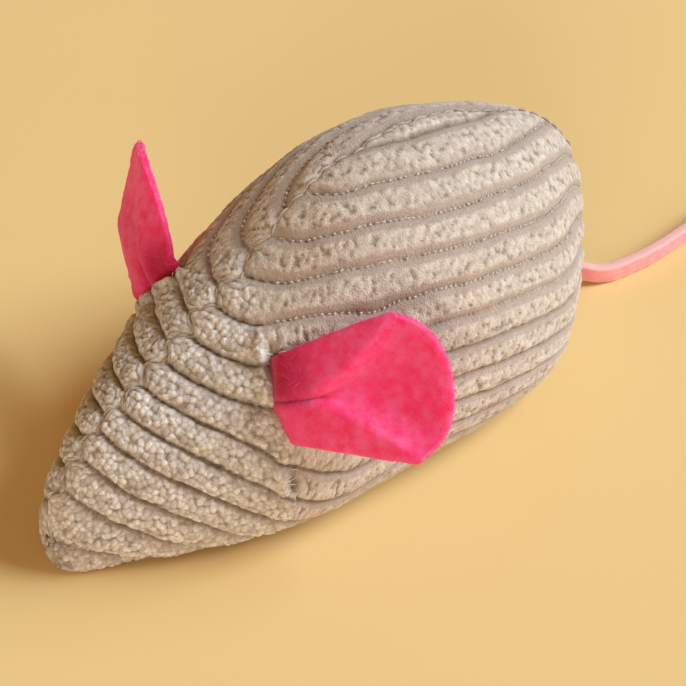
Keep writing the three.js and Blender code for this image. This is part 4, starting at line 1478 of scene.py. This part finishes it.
def dart_stitches(name, side, node, seed):
    chance = np.random.default_rng(seed)
    places, runs, lifts, lengths = [], [], [], []
    slit = DART_LOW - DART_TOP
    for share in np.linspace(*DART_STITCH_SPAN, DART_STITCHES):
        place, normal = on_panel(DART_TOP + slit * share)
        places.append(place + normal * DART_STITCH_RAISED)
        runs.append(np.cross(normal, slit) + slit * DART_STITCH_SLANT)
        lifts.append(normal)
        lengths.append(DART_STITCH_LENGTH)
    for centre, count in LOOSE_ENDS:
        for _ in range(count):
            place, normal = on_panel(centre + chance.uniform(-LOOSE_END_SPREAD, LOOSE_END_SPREAD, 3))
            run = chance.uniform(-LOOSE_END_TOSS, LOOSE_END_TOSS, 3) + LOOSE_END_RUN
            places.append(place + normal * chance.uniform(0.0, LOOSE_END_RAISED))
            runs.append(run - LOOSE_END_LYING * (run @ normal) * normal)
            lifts.append(normal)
            lengths.append(chance.uniform(*LOOSE_END_LENGTHS))
    places, runs, lifts = (np.array(values) * [side, 1, 1] for values in (places, runs, lifts))
    thread = threads["white_sewing_thread"]
    stitches(name, places, runs, lifts, lengths, DART_THREAD_RADIUS, thread, node)


dart_stitches("left_dart_stitches", 1, "left_ear_stitches", 21)
dart_stitches("right_dart_stitches", -1, "right_ear_stitches", 22)

# %% [markdown]
# ## Loose fibres on the felt
# Felt never has a clean face or edge: single fibres lie on it and stand off its cut rim. Several hundred
# on each ear are enough for the outline to look soft. They are drawn thicker than real ones, which would
# vanish at this distance.

# %% Loose fibres
FIBRE_RADIUS = 0.024
FIBRE_LENGTHS = (0.3, 0.9)
FACE_FIBRES = 80
RIM_FIBRES = 600
FIBRES_FROM = 0.2  # share of the rows, nearest the dart, that stay bare
FIBRE_LYING = 0.9
FIBRE_TOSS = 0.7
FIBRE_TILT = 0.1
ON_FACE, ON_RIM = 1.03, 0.5  # height above the middle of the felt, as a share of half its thickness


def loose_fibres(name, node, seed):
    chance = np.random.default_rng(seed)
    middle, offset = ear_sheets[node]
    rows, columns = middle.shape[:2]
    first = int(rows * FIBRES_FROM)
    face_rows = chance.integers(first, rows, FACE_FIBRES)
    face_columns = chance.integers(0, columns, FACE_FIBRES)
    rim = [[row, 0] for row in range(first, rows)] + [[rows - 1, column] for column in range(1, columns)]
    rim = np.array(rim + [[row, columns - 1] for row in range(rows - 2, first, -1)])
    round_rim = travelled(middle[rim[:, 0], rim[:, 1]])
    picked = np.searchsorted(round_rim, chance.uniform(0, round_rim[-1], RIM_FIBRES))
    i, j = np.vstack([np.column_stack([face_rows, face_columns]), rim[picked]]).T
    out = unit(offset[i, j])
    away = unit(middle[i, j] - middle[rows // 2, columns // 2])
    on_rim = np.arange(len(i)) >= FACE_FIBRES
    sides = np.where(chance.uniform(size=len(i)) < 0.5, -1, 1)[:, None]
    tossed = chance.normal(size=(len(i), 3))
    lying = tossed - (tossed * out).sum(axis=1, keepdims=True) * out * FIBRE_LYING
    runs = np.where(on_rim[:, None], (away + tossed) * FIBRE_TOSS, lying)
    places = middle[i, j] + offset[i, j] * sides * np.where(on_rim, ON_RIM, ON_FACE)[:, None]
    lengths = chance.uniform(*FIBRE_LENGTHS, len(i))
    lifts = out * sides + FIBRE_TILT * tossed
    fibre = threads["loose_felt_fibre"]
    stitches(name, places, runs, lifts, lengths, FIBRE_RADIUS, fibre, body=node)


loose_fibres("left_ear_fibres", "left_ear", 31)
loose_fibres("right_ear_fibres", "right_ear", 32)

# %% [markdown]
# ## The floor and the light
# The toy lies on plain pale yellow paper, uncoated and matt, with a faint cloudiness. One large soft lamp
# stands high up to the right, as a window would, a white card behind the camera sends some light back,
# and the warm glow of the paper all round fills the shadows. The window is as cool as that glow is warm,
# so together they are white, at a level where colours render about as written.

# %% Floor
FLOOR = 1500
PAPER_CLOUD = 30

floor_finish, tree = new_finish("pale_yellow_paper")
place = add_node(tree, "ShaderNodeTexCoord")
grain = add_node(tree, "ShaderNodeTexNoise", {
    "Vector": place.outputs["Object"], "Scale": 1 / (PAPER_CLOUD * MM), "Detail": 3.0,
})
toned = add_node(tree, "ShaderNodeMix", {
    0: grain.outputs["Fac"], 6: linear("#EECA89"), 7: linear("#F0CC8D"),
}, data_type="RGBA")
shade = add_node(tree, "ShaderNodeBsdfPrincipled", {
    "Base Color": toned.outputs[2], "Roughness": 0.9, "Specular IOR Level": 0.1,
})
add_node(tree, "ShaderNodeOutputMaterial", {"Surface": shade.outputs["BSDF"]})
floor_corners = [[-FLOOR, -FLOOR, 0], [FLOOR, -FLOOR, 0], [FLOOR, FLOOR, 0], [-FLOOR, FLOOR, 0]]
floor = new_piece("paper_floor", floor_corners, [[0, 1, 2, 3]], floor_finish)

# %% Light
GLOW = "#FFC874"
GLOW_STRENGTH = 0.29
LIT_HEIGHT = 15  # the lamps are aimed at this height above the origin

world = bpy.data.worlds.new("studio")
scene.world = world
world.use_nodes = True
background = world.node_tree.nodes["Background"]
background.inputs["Color"].default_value = linear(GLOW)
background.inputs["Strength"].default_value = GLOW_STRENGTH

for name, spot, size, power, colour in (
    ("soft_window", (1220, 1960, 1740), 1700, 118, (0.71, 0.857, 1)),
    ("white_card", (1850, -1850, 650), 1200, 31, (1, 0.98, 0.95)),
):
    lamp = bpy.data.objects.new(name, bpy.data.lights.new(name, "AREA"))
    lamp.data.shape = "DISK"
    lamp.data.size = size * MM
    lamp.data.energy = power
    lamp.data.color = colour
    lamp.location = Vector(spot) * MM
    aim = lamp.location - Vector((0, 0, LIT_HEIGHT * MM))
    lamp.rotation_euler = aim.to_track_quat("Z", "Y").to_euler()
    scene.collection.objects.link(lamp)
    print(name, "at", round(lamp.location.length / MM), "mm")
scene.view_settings.view_transform = "Standard"
